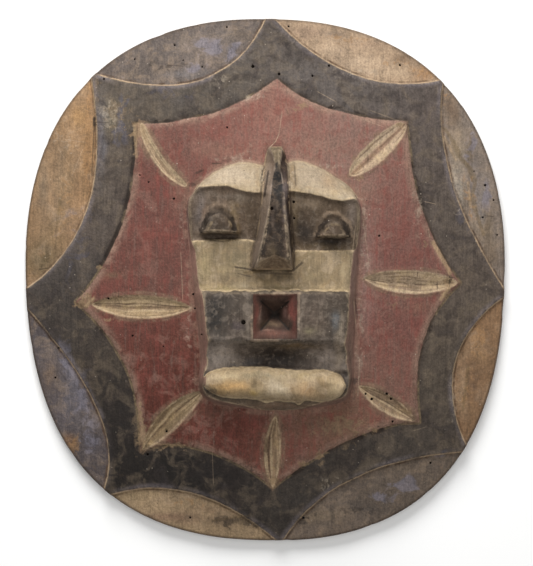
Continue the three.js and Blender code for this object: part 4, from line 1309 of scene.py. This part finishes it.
# %% Node wiring
class Wiring:
    """Makes and joins nodes in one node tree."""

    def __init__(self, tree):
        self.tree = tree

    def put(self, value, socket):
        """Links a socket, or sets a number."""
        if isinstance(value, bpy.types.NodeSocket):
            self.tree.links.new(value, socket)
        else:
            socket.default_value = value

    def node(self, kind, inputs=(), **settings):
        """A new shader node with its settings and its filled sockets."""
        made = self.tree.nodes.new("ShaderNode" + kind)
        for name, value in settings.items():
            setattr(made, name, value)
        for key, value in dict(inputs).items():
            self.put(value, made.inputs[key])
        return made

    def math(self, operation, a, b=0.0):
        """One sum of a and b."""
        return self.node("Math", {0: a, 1: b}, operation=operation).outputs[0]

    def both(self, *masks):
        """Product of masks."""
        result = masks[0]
        for mask in masks[1:]:
            result = self.math("MULTIPLY", result, mask)
        return result

    def span(self, value, start, end, low=0.0, high=1.0):
        """value from start to end becomes low to high, with soft ends."""
        inputs = {"Value": value, "From Min": start, "From Max": end, "To Min": low, "To Max": high}
        return self.node("MapRange", inputs, interpolation_type="SMOOTHSTEP").outputs[0]

    def line(self, value, middle, half, strength=1.0):
        """Mask of a line: strength where value is at middle, 0 from half away."""
        off = self.math("ABSOLUTE", self.math("SUBTRACT", value, middle))
        return self.span(off, half, half * 0.3, 0.0, strength)

    def mix(self, amount, a, b):
        """Colour a where amount is 0 and b where it is 1."""
        return self.node("Mix", {0: amount, 6: a, 7: b}, data_type="RGBA").outputs[2]

    def scaled(self, colour, factor):
        """A colour with its value multiplied by a factor that varies."""
        return self.node("HueSaturation", {"Value": factor, "Color": colour}).outputs[0]

    def attribute(self, name):
        """A distance or a share that the mesh carries."""
        return self.node("Attribute", attribute_name=name).outputs["Fac"]

    def tone(self, name):
        """A colour that the mesh carries."""
        return self.node("Attribute", attribute_name=name).outputs["Color"]

    def noise(self, place, scale, detail=4.0, roughness=0.6, swirl=0.0):
        """Smooth noise about 0.5."""
        inputs = {"Vector": place, "Scale": scale, "Detail": detail, "Roughness": roughness,
                  "Distortion": swirl}
        return self.node("TexNoise", inputs).outputs["Fac"]

    def place(self, scale=(1, 1, 1), turn=(0, 0, 0)):
        """Object coordinates, stretched and turned."""
        coordinates = self.node("TexCoord").outputs["Object"]
        inputs = {"Vector": coordinates, "Scale": scale, "Rotation": turn}
        return self.node("Mapping", inputs).outputs[0]

    def group(self, tree, **inputs):
        """Outputs of a node group with its inputs filled."""
        made = self.node("Group", node_tree=tree)
        for name, value in inputs.items():
            self.put(value, made.inputs[name.replace("_", " ")])
        return made.outputs


def new_group(name, inputs, outputs):
    """An empty node group: float inputs with their values, and named outputs."""
    tree = bpy.data.node_groups.new(name, "ShaderNodeTree")
    for socket, value in inputs.items():
        made = tree.interface.new_socket(socket, in_out="INPUT", socket_type="NodeSocketFloat")
        made.default_value = value
    for socket in outputs:
        tree.interface.new_socket(socket, in_out="OUTPUT", socket_type="NodeSocketFloat")
    given, result = tree.nodes.new("NodeGroupInput"), tree.nodes.new("NodeGroupOutput")
    return tree, Wiring(tree), given.outputs, result.inputs


# %% [markdown]
# ## Shared effects
# Some effects come back in more than one finish, so each is a node group built once: the grain of
# the wood, a ragged edge for a mask, cloudy unevenness, flecks, and one torn line. All of them read
# Object coordinates, so they stay put on the wood from every side.

# %% Grain
def make_grain():
    """Noise stretched along y, the way the fibres run: broad streaks, fibres and thin checks."""
    tree, w, given, result = new_group("long_grain", {"Bend": 0.25}, ["Streak", "Fibre", "Check"])
    bend = w.noise(w.place((14, 5, 9)), 1.0, 2.0)
    wander = w.math("MULTIPLY", w.math("SUBTRACT", bend, 0.5), given["Bend"])
    ends = w.math("MULTIPLY", w.noise(w.place((300, 9, 260)), 1.0, 1.0), 3.0)
    shift = w.node("CombineXYZ", {"X": w.math("MULTIPLY", wander, 12.0), "Y": ends}).outputs[0]

    def stretched(x, y, z):
        moved = w.node("VectorMath", {0: w.place((x, y, z)), 1: shift}, operation="ADD")
        return moved.outputs[0]

    w.put(w.noise(stretched(210, 26, 90), 1.0, 4.0, 0.62), result["Streak"])
    w.put(w.noise(stretched(480, 60, 300), 1.0, 3.0, 0.65), result["Fibre"])
    line = w.noise(stretched(95, 6, 60), 1.0, 3.0, 0.55)
    off = w.math("ABSOLUTE", w.math("SUBTRACT", line, 0.5))
    broken = w.span(w.noise(w.place((30, 14, 30)), 1.0, 2.0), 0.52, 0.66)
    w.put(w.math("MULTIPLY", w.span(off, 0.010, 0.001), broken), result["Check"])
    return tree


grain = make_grain()

# %% Ragged mask edge
def make_ragged():
    """Mask 1 where Distance is over Edge, with an outline torn by Rag mm of noise."""
    inputs = {"Distance": 0.0, "Edge": 0.0, "Rag": 1.0, "Soft": 0.4}
    tree, w, given, result = new_group("ragged_mask", inputs, ["Mask"])
    torn = w.noise(w.place((150, 120, 150)), 1.0, 5.0, 0.68)
    tear = w.math("MULTIPLY", w.math("SUBTRACT", torn, 0.5), w.math("MULTIPLY", given["Rag"], 4.0))
    value = w.math("ADD", w.math("SUBTRACT", given["Distance"], given["Edge"]), tear)
    low = w.math("MULTIPLY", given["Soft"], -1.0)
    w.put(w.span(value, low, given["Soft"]), result["Mask"])
    return tree


ragged = make_ragged()

# %% Cloudy unevenness
def make_mottle():
    """Clouds from 0 to 1, swirled as wet clay is: Cloud some 70 mm wide, Patch 20 mm, Blot 7 mm and
    Grit 2 mm."""
    outputs = ["Cloud", "Patch", "Blot", "Grit"]
    tree, w, given, result = new_group("mottle", {"Turn": 0.0}, outputs)
    turned = w.node("CombineXYZ", {"Z": given["Turn"]}).outputs[0]
    askew = w.node("VectorRotate", {"Vector": w.place(), "Rotation": (0.6, 0.5, 0.35)},
                   rotation_type="EULER_XYZ").outputs[0]
    moved = w.node("VectorMath", {0: askew, 1: turned}, operation="ADD").outputs[0]
    w.put(w.span(w.noise(moved, 14.0, 3.0, 0.55, 0.6), 0.3, 0.7), result["Cloud"])
    w.put(w.span(w.noise(moved, 46.0, 3.0, 0.60, 0.9), 0.3, 0.7), result["Patch"])
    w.put(w.span(w.noise(moved, 140.0, 3.0, 0.60, 0.6), 0.3, 0.7), result["Blot"])
    w.put(w.span(w.noise(moved, 430.0, 2.0, 0.7), 0.28, 0.72), result["Grit"])
    return tree


mottle = make_mottle()

# %% Flecks
def make_flecks():
    """Small spots: a cell noise whose cell centres are spots where the cell's chance allows it."""
    inputs = {"Scale": 260.0, "Size": 0.22, "Amount": 0.5}
    tree, w, given, result = new_group("flecks", inputs, ["Mask"])
    cell = w.node("TexVoronoi", {"Vector": w.place((1, 1, 0.2)), "Scale": given["Scale"]})
    chance = w.node("SeparateColor", {0: cell.outputs["Color"]}).outputs[0]
    chosen = w.math("LESS_THAN", chance, given["Amount"])
    small = w.math("MULTIPLY", given["Size"], 0.4)
    w.put(w.both(w.span(cell.outputs["Distance"], given["Size"], small), chosen), result["Mask"])
    return tree


flecks = make_flecks()

# %% One line
def make_scratch():
    """Mask of a line from its distance over its half width, torn along its length by noise."""
    tree, w, given, result = new_group("scratch", {"Off": 9.0, "Strength": 1.0}, ["Mask"])
    tear = w.noise(w.place(), 420.0, 2.0)
    distance = w.math("ABSOLUTE", given["Off"])
    w.put(w.both(w.span(distance, w.math("ADD", tear, 1.0), tear), given["Strength"]), result["Mask"])
    return tree


scratch = make_scratch()
print("node groups:", ", ".join(group.name for group in bpy.data.node_groups))

# %% [markdown]
# ## Painted front
# The front is rubbed with earth colours and pipe clay: red on the inner star, soot on the outer
# one, clay and ochre on the fields and the face. Handling has worn the paint off what stands
# proud, and what is sunk is darkened, as dirt and as painted shade. The recipe lays one colour
# over another through masks, in the order in which a painter and then the years would do it.

# %% Start a material
MATT_SHEEN = 0.3                    # earth paint and old wood reflect little


def start_material(material):
    """A Wiring for a material with one Principled shader on its output."""
    material.use_nodes = True
    tree = material.node_tree
    tree.nodes.clear()
    wiring = Wiring(tree)
    shader = wiring.node("BsdfPrincipled", {"Specular IOR Level": MATT_SHEEN})
    output = wiring.node("OutputMaterial")
    tree.links.new(shader.outputs[0], output.inputs["Surface"])
    return wiring, shader


def earth(red, green, blue):
    """A paint's tone as a shader colour."""
    return (*linear((red, green, blue)), 1.0)


def add_bump(height, strength, depth):
    """Relief of depth metres, on the shader of the material at hand."""
    bump = w.node("Bump", {"Height": height, "Strength": strength, "Distance": depth})
    w.put(bump.outputs[0], shader.inputs["Normal"])


painted, bare, hole_wall = finishes
w, shader = start_material(painted)
fibres = w.group(grain, Bend=0.25)
clouds = w.group(mottle, Turn=0.0)
others = w.group(mottle, Turn=2.3)


def edged(name, edge=0.0, rag=0.6, soft=0.45):
    """Mask 1 where the attribute is over edge mm, with a ragged outline."""
    return w.group(ragged, Distance=w.attribute(name), Edge=edge, Rag=rag, Soft=soft)["Mask"]


def torn_patch(name, noise, tear=0.75):
    """Mask of a listed patch: its strength plus noise, cut off softly."""
    loose = w.math("MULTIPLY", w.math("SUBTRACT", noise, 0.5), tear)
    return w.span(w.math("ADD", w.attribute(name), loose), 0.30, 0.75)


def washed(base, washes):
    """Base with clouds of other tones over it. Each wash is a cloud, the values where it starts and
    where it is full, its strength there, and its tone."""
    for cloud, start, full, strength, tone in washes:
        base = w.mix(w.span(cloud, start, full, 0.0, strength), base, earth(*tone))
    return base


def patched(base, name, noise, strength, tone):
    """Base with the listed patches of one kind over it, torn by noise."""
    return w.mix(w.both(torn_patch(name, noise), strength), base, earth(*tone))


def broken(value, middle, half, cloud, start, full, least, most):
    """Mask of a line where value is at middle, going from least to most with the cloud."""
    return w.both(w.line(value, middle, half), w.span(cloud, start, full, least, most))


# %% [markdown]
# ### Board
# From the bottom up: clay and ochre on the fields, soot over them, and red on top of the soot. Each
# coat was rubbed thin over the worn edge of the one below, which the pale lines show, and dark
# lines run along the foot of each step.

# %% Board: fields, soot band and red star
field = w.scaled(w.tone("field_tone"), w.span(clouds["Cloud"], 0.0, 1.0, 0.90, 1.10))
field = washed(field, [
    (clouds["Patch"], 0.50, 1.0, 0.20, (98, 88, 80)),
    (others["Patch"], 0.45, 1.0, 0.22, (150, 128, 104)),
    (others["Blot"], 0.55, 1.0, 0.22, (104, 86, 68)),
])
colour = patched(field, "violet", others["Patch"], 0.6, (110, 106, 116))
colour = patched(colour, "ochre", others["Blot"], 0.55, (140, 106, 70))

dark, red = w.attribute("dark"), w.attribute("red")
# A darker line along the foot of the soot band's step.
ditch = w.both(w.line(dark, -1.9, 1.7, 0.75), clouds["Patch"])
colour = w.mix(ditch, colour, earth(74, 52, 34))
soot = washed(w.tone("soot_tone"), [
    (others["Patch"], 0.35, 1.0, 0.5, (92, 80, 66)),
    (clouds["Patch"], 0.45, 1.0, 0.5, (52, 45, 42)),
])
soot = patched(soot, "violet", clouds["Patch"], 0.5, (84, 82, 92))
soot = patched(soot, "ochre", clouds["Blot"], 0.6, (116, 98, 76))
shoulder = w.both(w.span(dark, 8.0, 1.0), w.span(clouds["Cloud"], 0.2, 0.8, 0.1, 0.6))
soot = w.mix(shoulder, soot, earth(112, 103, 104))
# The soot darkens towards the red star's edge.
soot = w.mix(w.span(red, -9.0, -1.0, 0.0, 0.45), soot, earth(50, 41, 36))
colour = w.mix(edged("dark", 0.3, 0.45), colour, soot)
lip = broken(dark, 0.1, 1.35, others["Patch"], 0.0, 0.4, 0.3, 0.9)
colour = w.mix(lip, colour, earth(160, 137, 110))

red_paint = washed(w.tone("red_tone"), [
    (others["Blot"], 0.5, 1.0, 0.40, (88, 50, 43)),
    (clouds["Patch"], 0.5, 1.0, 0.50, (126, 94, 83)),
    (others["Patch"], 0.5, 1.0, 0.45, (100, 54, 46)),
    (fibres["Streak"], 0.50, 0.68, 0.50, (104, 52, 45)),
    (fibres["Streak"], 0.46, 0.30, 0.35, (134, 106, 94)),
])
halo = w.both(w.span(red, 11.0, 1.0), w.span(others["Patch"], 0.0, 0.7, 0.2, 0.85))
red_paint = w.mix(halo, red_paint, earth(132, 106, 91))
red_paint = patched(red_paint, "ochre", clouds["Blot"], 0.7, (126, 104, 80))
# Dark lines along the foot of the red star's step.
olive_edge = w.mix(w.span(others["Cloud"], 0.35, 0.65), earth(60, 48, 38), earth(104, 88, 66))
colour = w.mix(w.both(w.line(red, -1.0, 2.2, 0.9), w.span(clouds["Blot"], 0.0, 0.6, 0.4, 1.0)),
               colour, olive_edge)
dark_at_step_foot = torn_patch("dark_at_step_foot", clouds["Patch"])
colour = w.mix(w.both(dark_at_step_foot, w.line(red, -1.8, 4.4), 0.95), colour, earth(38, 29, 23))
colour = w.mix(edged("red", 0.0, 0.7, 0.8), colour, red_paint)
print("nodes after board:", len(painted.node_tree.nodes))

# %% [markdown]
# ### Leaves
# A gouge leaves strokes that run the length of the leaf. Where its two slopes meet, a dark line is
# painted as shade, with a pale line beside it as a painted highlight.

# %% Leaves
leaf_off, leaf_half = w.attribute("leaf_off"), w.attribute("leaf_half")
leaf_reach = w.math("SUBTRACT", leaf_half, w.math("ABSOLUTE", leaf_off))
leaf_place = w.math("DIVIDE", leaf_off, w.math("MAXIMUM", leaf_half, 2.0))
waver = w.span(w.noise(w.place(), 30.0, 1.0), 0.3, 0.7, -0.08, 0.08)
leaf_place = w.math("ADD", leaf_place, waver)
along_leaf = w.place((16, 16, 0))
across_leaf = w.node("CombineXYZ", {"Z": w.math("MULTIPLY", leaf_place, 3.2)}).outputs[0]
strokes = w.node("VectorMath", {0: along_leaf, 1: across_leaf}, operation="ADD").outputs[0]
stroke = w.noise(strokes, 1.0, 2.0, 0.5)
leaf = washed(w.tone("leaf_tone_and_light"), [
    (stroke, 0.50, 0.66, 0.55, (172, 151, 120)),
    (stroke, 0.48, 0.36, 0.60, (100, 80, 60)),
    (others["Patch"], 0.5, 1.0, 0.35, (136, 116, 80)),
])
leaf_groove_shade = w.line(w.math("SUBTRACT", leaf_place, w.attribute("leaf_line")), 0.0, 0.11)
leaf = w.mix(w.both(leaf_groove_shade, w.span(clouds["Patch"], 0.0, 0.6, 0.25, 0.85)), leaf, earth(86, 68, 52))
leaf_ridge_highlight = w.line(w.math("SUBTRACT", leaf_place, w.attribute("leaf_line")), 0.24, 0.14)
leaf = w.mix(w.both(leaf_ridge_highlight, w.span(others["Patch"], 0.1, 0.7, 0.1, 0.6)), leaf, earth(168, 146, 116))
leaf_lip = broken(leaf_reach, 1.4, 1.6, others["Patch"], 0.2, 0.8, 0.10, 0.70)
leaf = w.mix(leaf_lip, leaf, earth(166, 144, 117))
in_leaf = w.group(ragged, Distance=leaf_reach, Edge=0.0, Rag=0.8, Soft=1.5)["Mask"]
leaf_halo = broken(leaf_reach, -2.0, 3.8, clouds["Patch"], 0.2, 0.8, 0.15, 0.70)
colour = w.mix(leaf_halo, colour, earth(116, 94, 76))
colour = w.mix(in_leaf, colour, leaf)
print("nodes after leaves:", len(painted.node_tree.nodes))

smear = w.mix(others["Blot"], earth(150, 127, 98), earth(112, 90, 66))
colour = w.mix(w.both(torn_patch("tan", clouds["Blot"]), 0.7), colour, smear)

# %% [markdown]
# ### Face
# Pale clay lies on the forehead, cheeks and chin, a dark wash fills the eye plane and the band over
# the chin, and the side walls are left almost bare. Their tones are lifted as painted light against
# the shade of the steep walls.

# %% Face: clay, dark bands and walls
clay = washed(w.tone("face_clay"), [
    (others["Blot"], 0.50, 1.0, 0.40, (116, 96, 70)),
    (clouds["Patch"], 0.50, 1.0, 0.40, (168, 150, 126)),
    (others["Patch"], 0.55, 1.0, 0.35, (128, 110, 80)),
])
dusk = washed(w.tone("face_dark"), [
    (others["Blot"], 0.50, 1.0, 0.35, (118, 106, 94)),
    (clouds["Blot"], 0.55, 1.0, 0.35, (60, 49, 38)),
])
arch = w.math("ADD", w.attribute("arch"), w.span(w.noise(w.place(), 60.0, 2.0), 0.3, 0.7, -0.11, 0.11))
# A dark line in the lids' arched groove: painted shade.
dusk = w.mix(broken(arch, 0.76, 0.15, others["Patch"], 0.0, 0.8, 0.5, 1.0), dusk,
             earth(40, 31, 23))
dusk = w.mix(broken(arch, 1.0, 0.12, clouds["Patch"], 0.3, 0.9, 0.0, 0.6), dusk,
             earth(136, 116, 96))
dusk = w.mix(broken(arch, 0.56, 0.08, clouds["Patch"], 0.3, 0.8, 0.0, 0.6), dusk,
             earth(132, 114, 88))
cream = w.attribute("cream")
front = w.mix(edged("cream", 0.0, 0.6, 0.8), dusk, clay)
rim_line = broken(cream, 0.9, 1.5, clouds["Blot"], 0.1, 0.7, 0.15, 0.75)
front = w.mix(rim_line, front, earth(182, 160, 127))

mouth, beside = w.attribute("mouth"), w.attribute("beside")
pit = washed(w.tone("mouth_tone_and_shading"), [
    (others["Blot"], 0.4, 1.0, 0.4, (52, 36, 28)),
])
pit = w.mix(broken(mouth, 9.0, 1.6, others["Patch"], 0.4, 0.9, 0.0, 0.5), pit,
            earth(124, 94, 80))
# Dark lines where the pit's walls meet: painted shade in the creases.
pit = w.mix(w.both(w.line(beside, 0.0, 0.09), w.span(mouth, 7.5, 9.0), 0.8), pit, earth(26, 19, 15))
around_mouth = broken(mouth, -1.0, 2.2, others["Patch"], 0.2, 0.8, 0.0, 0.6)
front = w.mix(around_mouth, front, earth(140, 120, 102))
front = w.mix(edged("mouth", 0.2, 0.4), front, pit)

wall = washed(w.tone("face_wall"), [
    (others["Blot"], 0.45, 1.0, 0.45, (90, 66, 57)),
    (clouds["Patch"], 0.5, 1.0, 0.40, (128, 106, 88)),
])
foot = w.attribute("foot")
# Lifted towards the wall's foot: painted light against the shade where the wall meets the board.
wall = w.mix(w.span(foot, 3.5, -0.5, 0.0, 0.5), wall, earth(136, 100, 88))
face = w.mix(edged("crest", 0.6, 0.8, 1.0), front, wall)
crest_line = broken(w.attribute("crest"), 0.0, 2.2, clouds["Blot"], 0.1, 0.8, 0.1, 0.7)
face = w.mix(crest_line, face, earth(162, 141, 114))

# %% Paint of the nose
nose, nose_front = w.attribute("nose"), w.attribute("nose_front")
nose_low = w.attribute("nose_low")
blade = washed(w.tone("nose_front_tone"), [
    (clouds["Blot"], 0.5, 1.0, 0.45, (92, 78, 66)),
])
underside = w.mix(clouds["Blot"], earth(112, 93, 74), earth(142, 122, 98))
blade = w.mix(w.span(nose_low, 0.8, -0.8), blade, underside)
nose_paint = w.mix(w.span(nose_front, -0.8, 0.6), w.tone("nose_wall_lit_and_shaded"), blade)
nose_edge = broken(nose_front, -0.6, 1.3, others["Patch"], 0.2, 0.9, 0.0, 0.6)
nose_paint = w.mix(nose_edge, nose_paint, earth(136, 122, 110))
nose_paint = washed(nose_paint, [
    (others["Blot"], 0.5, 1.0, 0.35, (88, 72, 56)),
])
# A dark line along the nose's foot is painted shade.
face = w.mix(broken(nose, -1.0, 2.0, clouds["Patch"], 0.0, 0.7, 0.1, 0.7), face,
             earth(62, 48, 34))
face = w.mix(broken(nose, 0.6, 1.1, others["Patch"], 0.2, 0.7, 0.0, 0.8),
             w.mix(edged("nose", 0.0, 0.25, 0.5), face, nose_paint), earth(154, 132, 104))
on_face = w.math("MAXIMUM", edged("foot", -0.3, 0.6, 1.0), edged("nose", 0.0, 0.25, 0.5))
smeared = broken(foot, -2.0, 6.0, others["Patch"], 0.2, 0.8, 0.0, 0.45)
colour = w.mix(smeared, colour, earth(128, 104, 88))
colour = w.mix(on_face, colour, face)
print("nodes after face and nose:", len(painted.node_tree.nodes))

# %% [markdown]
# ### What the years did, and painted shade
# Sunk places are darkened, as dirt and as painted shade, and the paint is rubbed paler where it
# stands proud. Dark patches lie mostly along the bottom, and dust and small pits are scattered
# over all of it.

# %% Dirt and painted shade, dark patches, dust and wear
# Sunk places darkened, as dirt and as painted shade, less so at the face's foot.
off_foot = w.span(w.math("ABSOLUTE", foot), 3.0, 16.0, 0.12, 1.0)
sunk_dirt_and_shade = w.both(w.span(w.attribute("sunk"), 0.5, 2.6, 0.0, 0.5), off_foot)
colour = w.mix(sunk_dirt_and_shade, colour, earth(50, 39, 30))
rubbed = w.both(w.span(w.attribute("sunk"), -0.6, -1.8, 0.0, 0.45), clouds["Blot"])
colour = w.mix(rubbed, colour, earth(170, 150, 123))
colour = patched(colour, "dark_patch", clouds["Blot"], 0.55, (38, 32, 29))
colour = patched(colour, "pale", others["Blot"], 0.35, (160, 146, 128))
# Darker along the outer rim.
colour = washed(colour, [
    (w.attribute("edge"), 0.985, 0.997, 0.6, (70, 55, 42)),
])
dust = w.group(flecks, Scale=170.0, Size=0.16, Amount=0.16)["Mask"]
colour = w.mix(w.both(dust, clouds["Patch"], 0.7), colour, earth(170, 158, 142))
pits = w.group(flecks, Scale=210.0, Size=0.20, Amount=0.10)["Mask"]
colour = w.mix(w.both(pits, others["Patch"], 0.7), colour, earth(40, 30, 24))
print("nodes after dirt:", len(painted.node_tree.nodes))

# %% [markdown]
# ### Scratches
# One group serves every kind of line, and only the tone changes.

# %% Scratches
for name, (tone, lines) in LINES.items():
    mark = w.group(scratch, Off=w.attribute(name + "_off"), Strength=w.attribute(name + "_strength"))
    colour = w.mix(mark["Mask"], colour, earth(*tone))
print("nodes after the lines:", len(painted.node_tree.nodes))

# %% [markdown]
# ### Sheen and relief
# Earth paint is matt, and the grain of the wood still shows through it as a faint relief.

# %% Finish of the painted wood
calm = w.span(on_face, 0.0, 1.0, 1.0, 0.55)
speckle = w.math("MULTIPLY", w.span(clouds["Grit"], 0.0, 1.0, -0.15, 0.15), calm)
shade = w.math("ADD", w.span(fibres["Streak"], 0.3, 0.7, 0.86, 1.14), speckle)
for unevenness, low, high, amount in ((others["Blot"], 0.0, 1.0, 0.10), (others["Patch"], 0.0, 1.0, 0.07),
                                      (fibres["Fibre"], 0.3, 0.7, 0.07)):
    shade = w.math("ADD", shade, w.span(unevenness, low, high, -amount, amount))
w.put(w.scaled(colour, shade), shader.inputs["Base Color"])
w.put(w.span(clouds["Patch"], 0.0, 1.0, 0.70, 0.88), shader.inputs["Roughness"])
relief = w.math("ADD", fibres["Fibre"], w.math("MULTIPLY", clouds["Grit"], 0.25))
relief = w.math("ADD", relief, w.math("MULTIPLY", others["Blot"], 0.3))
add_bump(relief, 0.7, 0.0009)

# %% [markdown]
# ## Bare back
# The back was never painted. It is dark with handling and smoke, streaked along the grain, and
# thin checks have opened in it. Its relief is in the mesh, so the finish adds only fine fibres.

# %% Bare back
w, shader = start_material(bare)
fibres, clouds = w.group(grain, Bend=0.3), w.group(mottle, Turn=1.7)
wood = w.mix(w.span(fibres["Streak"], 0.3, 0.7), earth(132, 104, 76), earth(98, 74, 54))
wood = washed(wood, [
    (clouds["Cloud"], 0.3, 0.9, 0.5, (82, 64, 50)),
    (clouds["Blot"], 0.5, 1.0, 0.3, (120, 98, 74)),
])
wood = w.mix(fibres["Check"], wood, earth(40, 30, 24))
shade = w.span(fibres["Fibre"], 0.3, 0.7, 0.88, 1.12)
shade = w.math("ADD", shade, w.span(clouds["Grit"], 0, 1, -0.08, 0.08))
w.put(w.scaled(wood, shade), shader.inputs["Base Color"])
w.put(w.span(fibres["Fibre"], 0.3, 0.7, 0.60, 0.82), shader.inputs["Roughness"])
add_bump(fibres["Fibre"], 0.5, 0.0006)
print("nodes of the bare wood:", len(bare.node_tree.nodes))

# %% [markdown]
# ### Hole walls
# Inside a borer hole the wood is dark and crumbly.

# %% Hole walls
w, shader = start_material(hole_wall)
clouds = w.group(mottle, Turn=3.1)
w.put(w.mix(clouds["Grit"], earth(52, 40, 31), earth(30, 23, 18)), shader.inputs["Base Color"])
w.put(w.span(clouds["Grit"], 0.0, 1.0, 0.8, 0.95), shader.inputs["Roughness"])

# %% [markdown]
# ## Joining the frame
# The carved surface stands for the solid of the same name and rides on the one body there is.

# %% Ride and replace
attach(shield, "root")
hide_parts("shield")

# %% [markdown]
# ## Floor, light and camera
# The shield lies on a pale floor and the camera looks straight down on it. A broad light low over
# the top edge rakes across the carving, as a window would, and a wide soft one overhead opens the
# shadows.

# %% Floor
floor_mesh = bpy.data.meshes.new("floor")
FLOOR_HALF = 3.0
corners = [(-FLOOR_HALF, -FLOOR_HALF, 0), (FLOOR_HALF, -FLOOR_HALF, 0),
           (FLOOR_HALF, FLOOR_HALF, 0), (-FLOOR_HALF, FLOOR_HALF, 0)]
floor_mesh.from_pydata(corners, [], [(0, 1, 2, 3)])
floor = new_object("floor", floor_mesh)
pale = bpy.data.materials.new("pale_floor")
w, shader = start_material(pale)
w.put(w.mix(w.noise(w.place(), 3.0), earth(250, 250, 249), earth(246, 246, 245)),
      shader.inputs["Base Color"])
w.put(w.span(w.noise(w.place(), 40.0), 0.3, 0.7, 0.85, 0.95), shader.inputs["Roughness"])
floor_mesh.materials.append(pale)

# %% Lights
def area_light(name, place, size, power):
    """A square light facing the middle of the shield."""
    lamp = bpy.data.lights.new(name, "AREA")
    lamp.size, lamp.energy = size, power
    made = bpy.data.objects.new(name, lamp)
    bpy.context.scene.collection.objects.link(made)
    made.location = place
    made.rotation_euler = (-Vector(place)).to_track_quat("-Z", "Y").to_euler()


LAMPS = [  # name, place and side in metres, power in watts
    ("window", (-0.35, 2.1, 1.5), 1.5, 85),
    ("overhead", (0.2, -0.2, 3.2), 3.0, 56),
]
SKY_STRENGTH = 0.144
for lamp in LAMPS:
    area_light(*lamp)
world = bpy.data.worlds.new("studio")
world.use_nodes = True
sky = world.node_tree.nodes["Background"]
sky.inputs["Color"].default_value = (1.0, 1.0, 1.0, 1.0)
sky.inputs["Strength"].default_value = SKY_STRENGTH
bpy.context.scene.world = world
bpy.context.scene.view_settings.view_transform = "Standard"
print("lamps:", [name for name, *_ in LAMPS])

# %% Camera
CAMERA_HEIGHT, CAMERA_OFF = 2.4, np.array([0.6, -3.3])      # metres, and mm off the middle
SENSOR, FOCAL_LENGTH = 36.0, 139.9
lens = bpy.data.cameras.new("camera")
lens.sensor_fit, lens.sensor_width, lens.lens = "HORIZONTAL", SENSOR, FOCAL_LENGTH
camera = bpy.data.objects.new("camera", lens)
bpy.context.scene.collection.objects.link(camera)
camera.location = (*((SHIFT + CAMERA_OFF) / 1000), CAMERA_HEIGHT)
bpy.context.scene.camera = camera
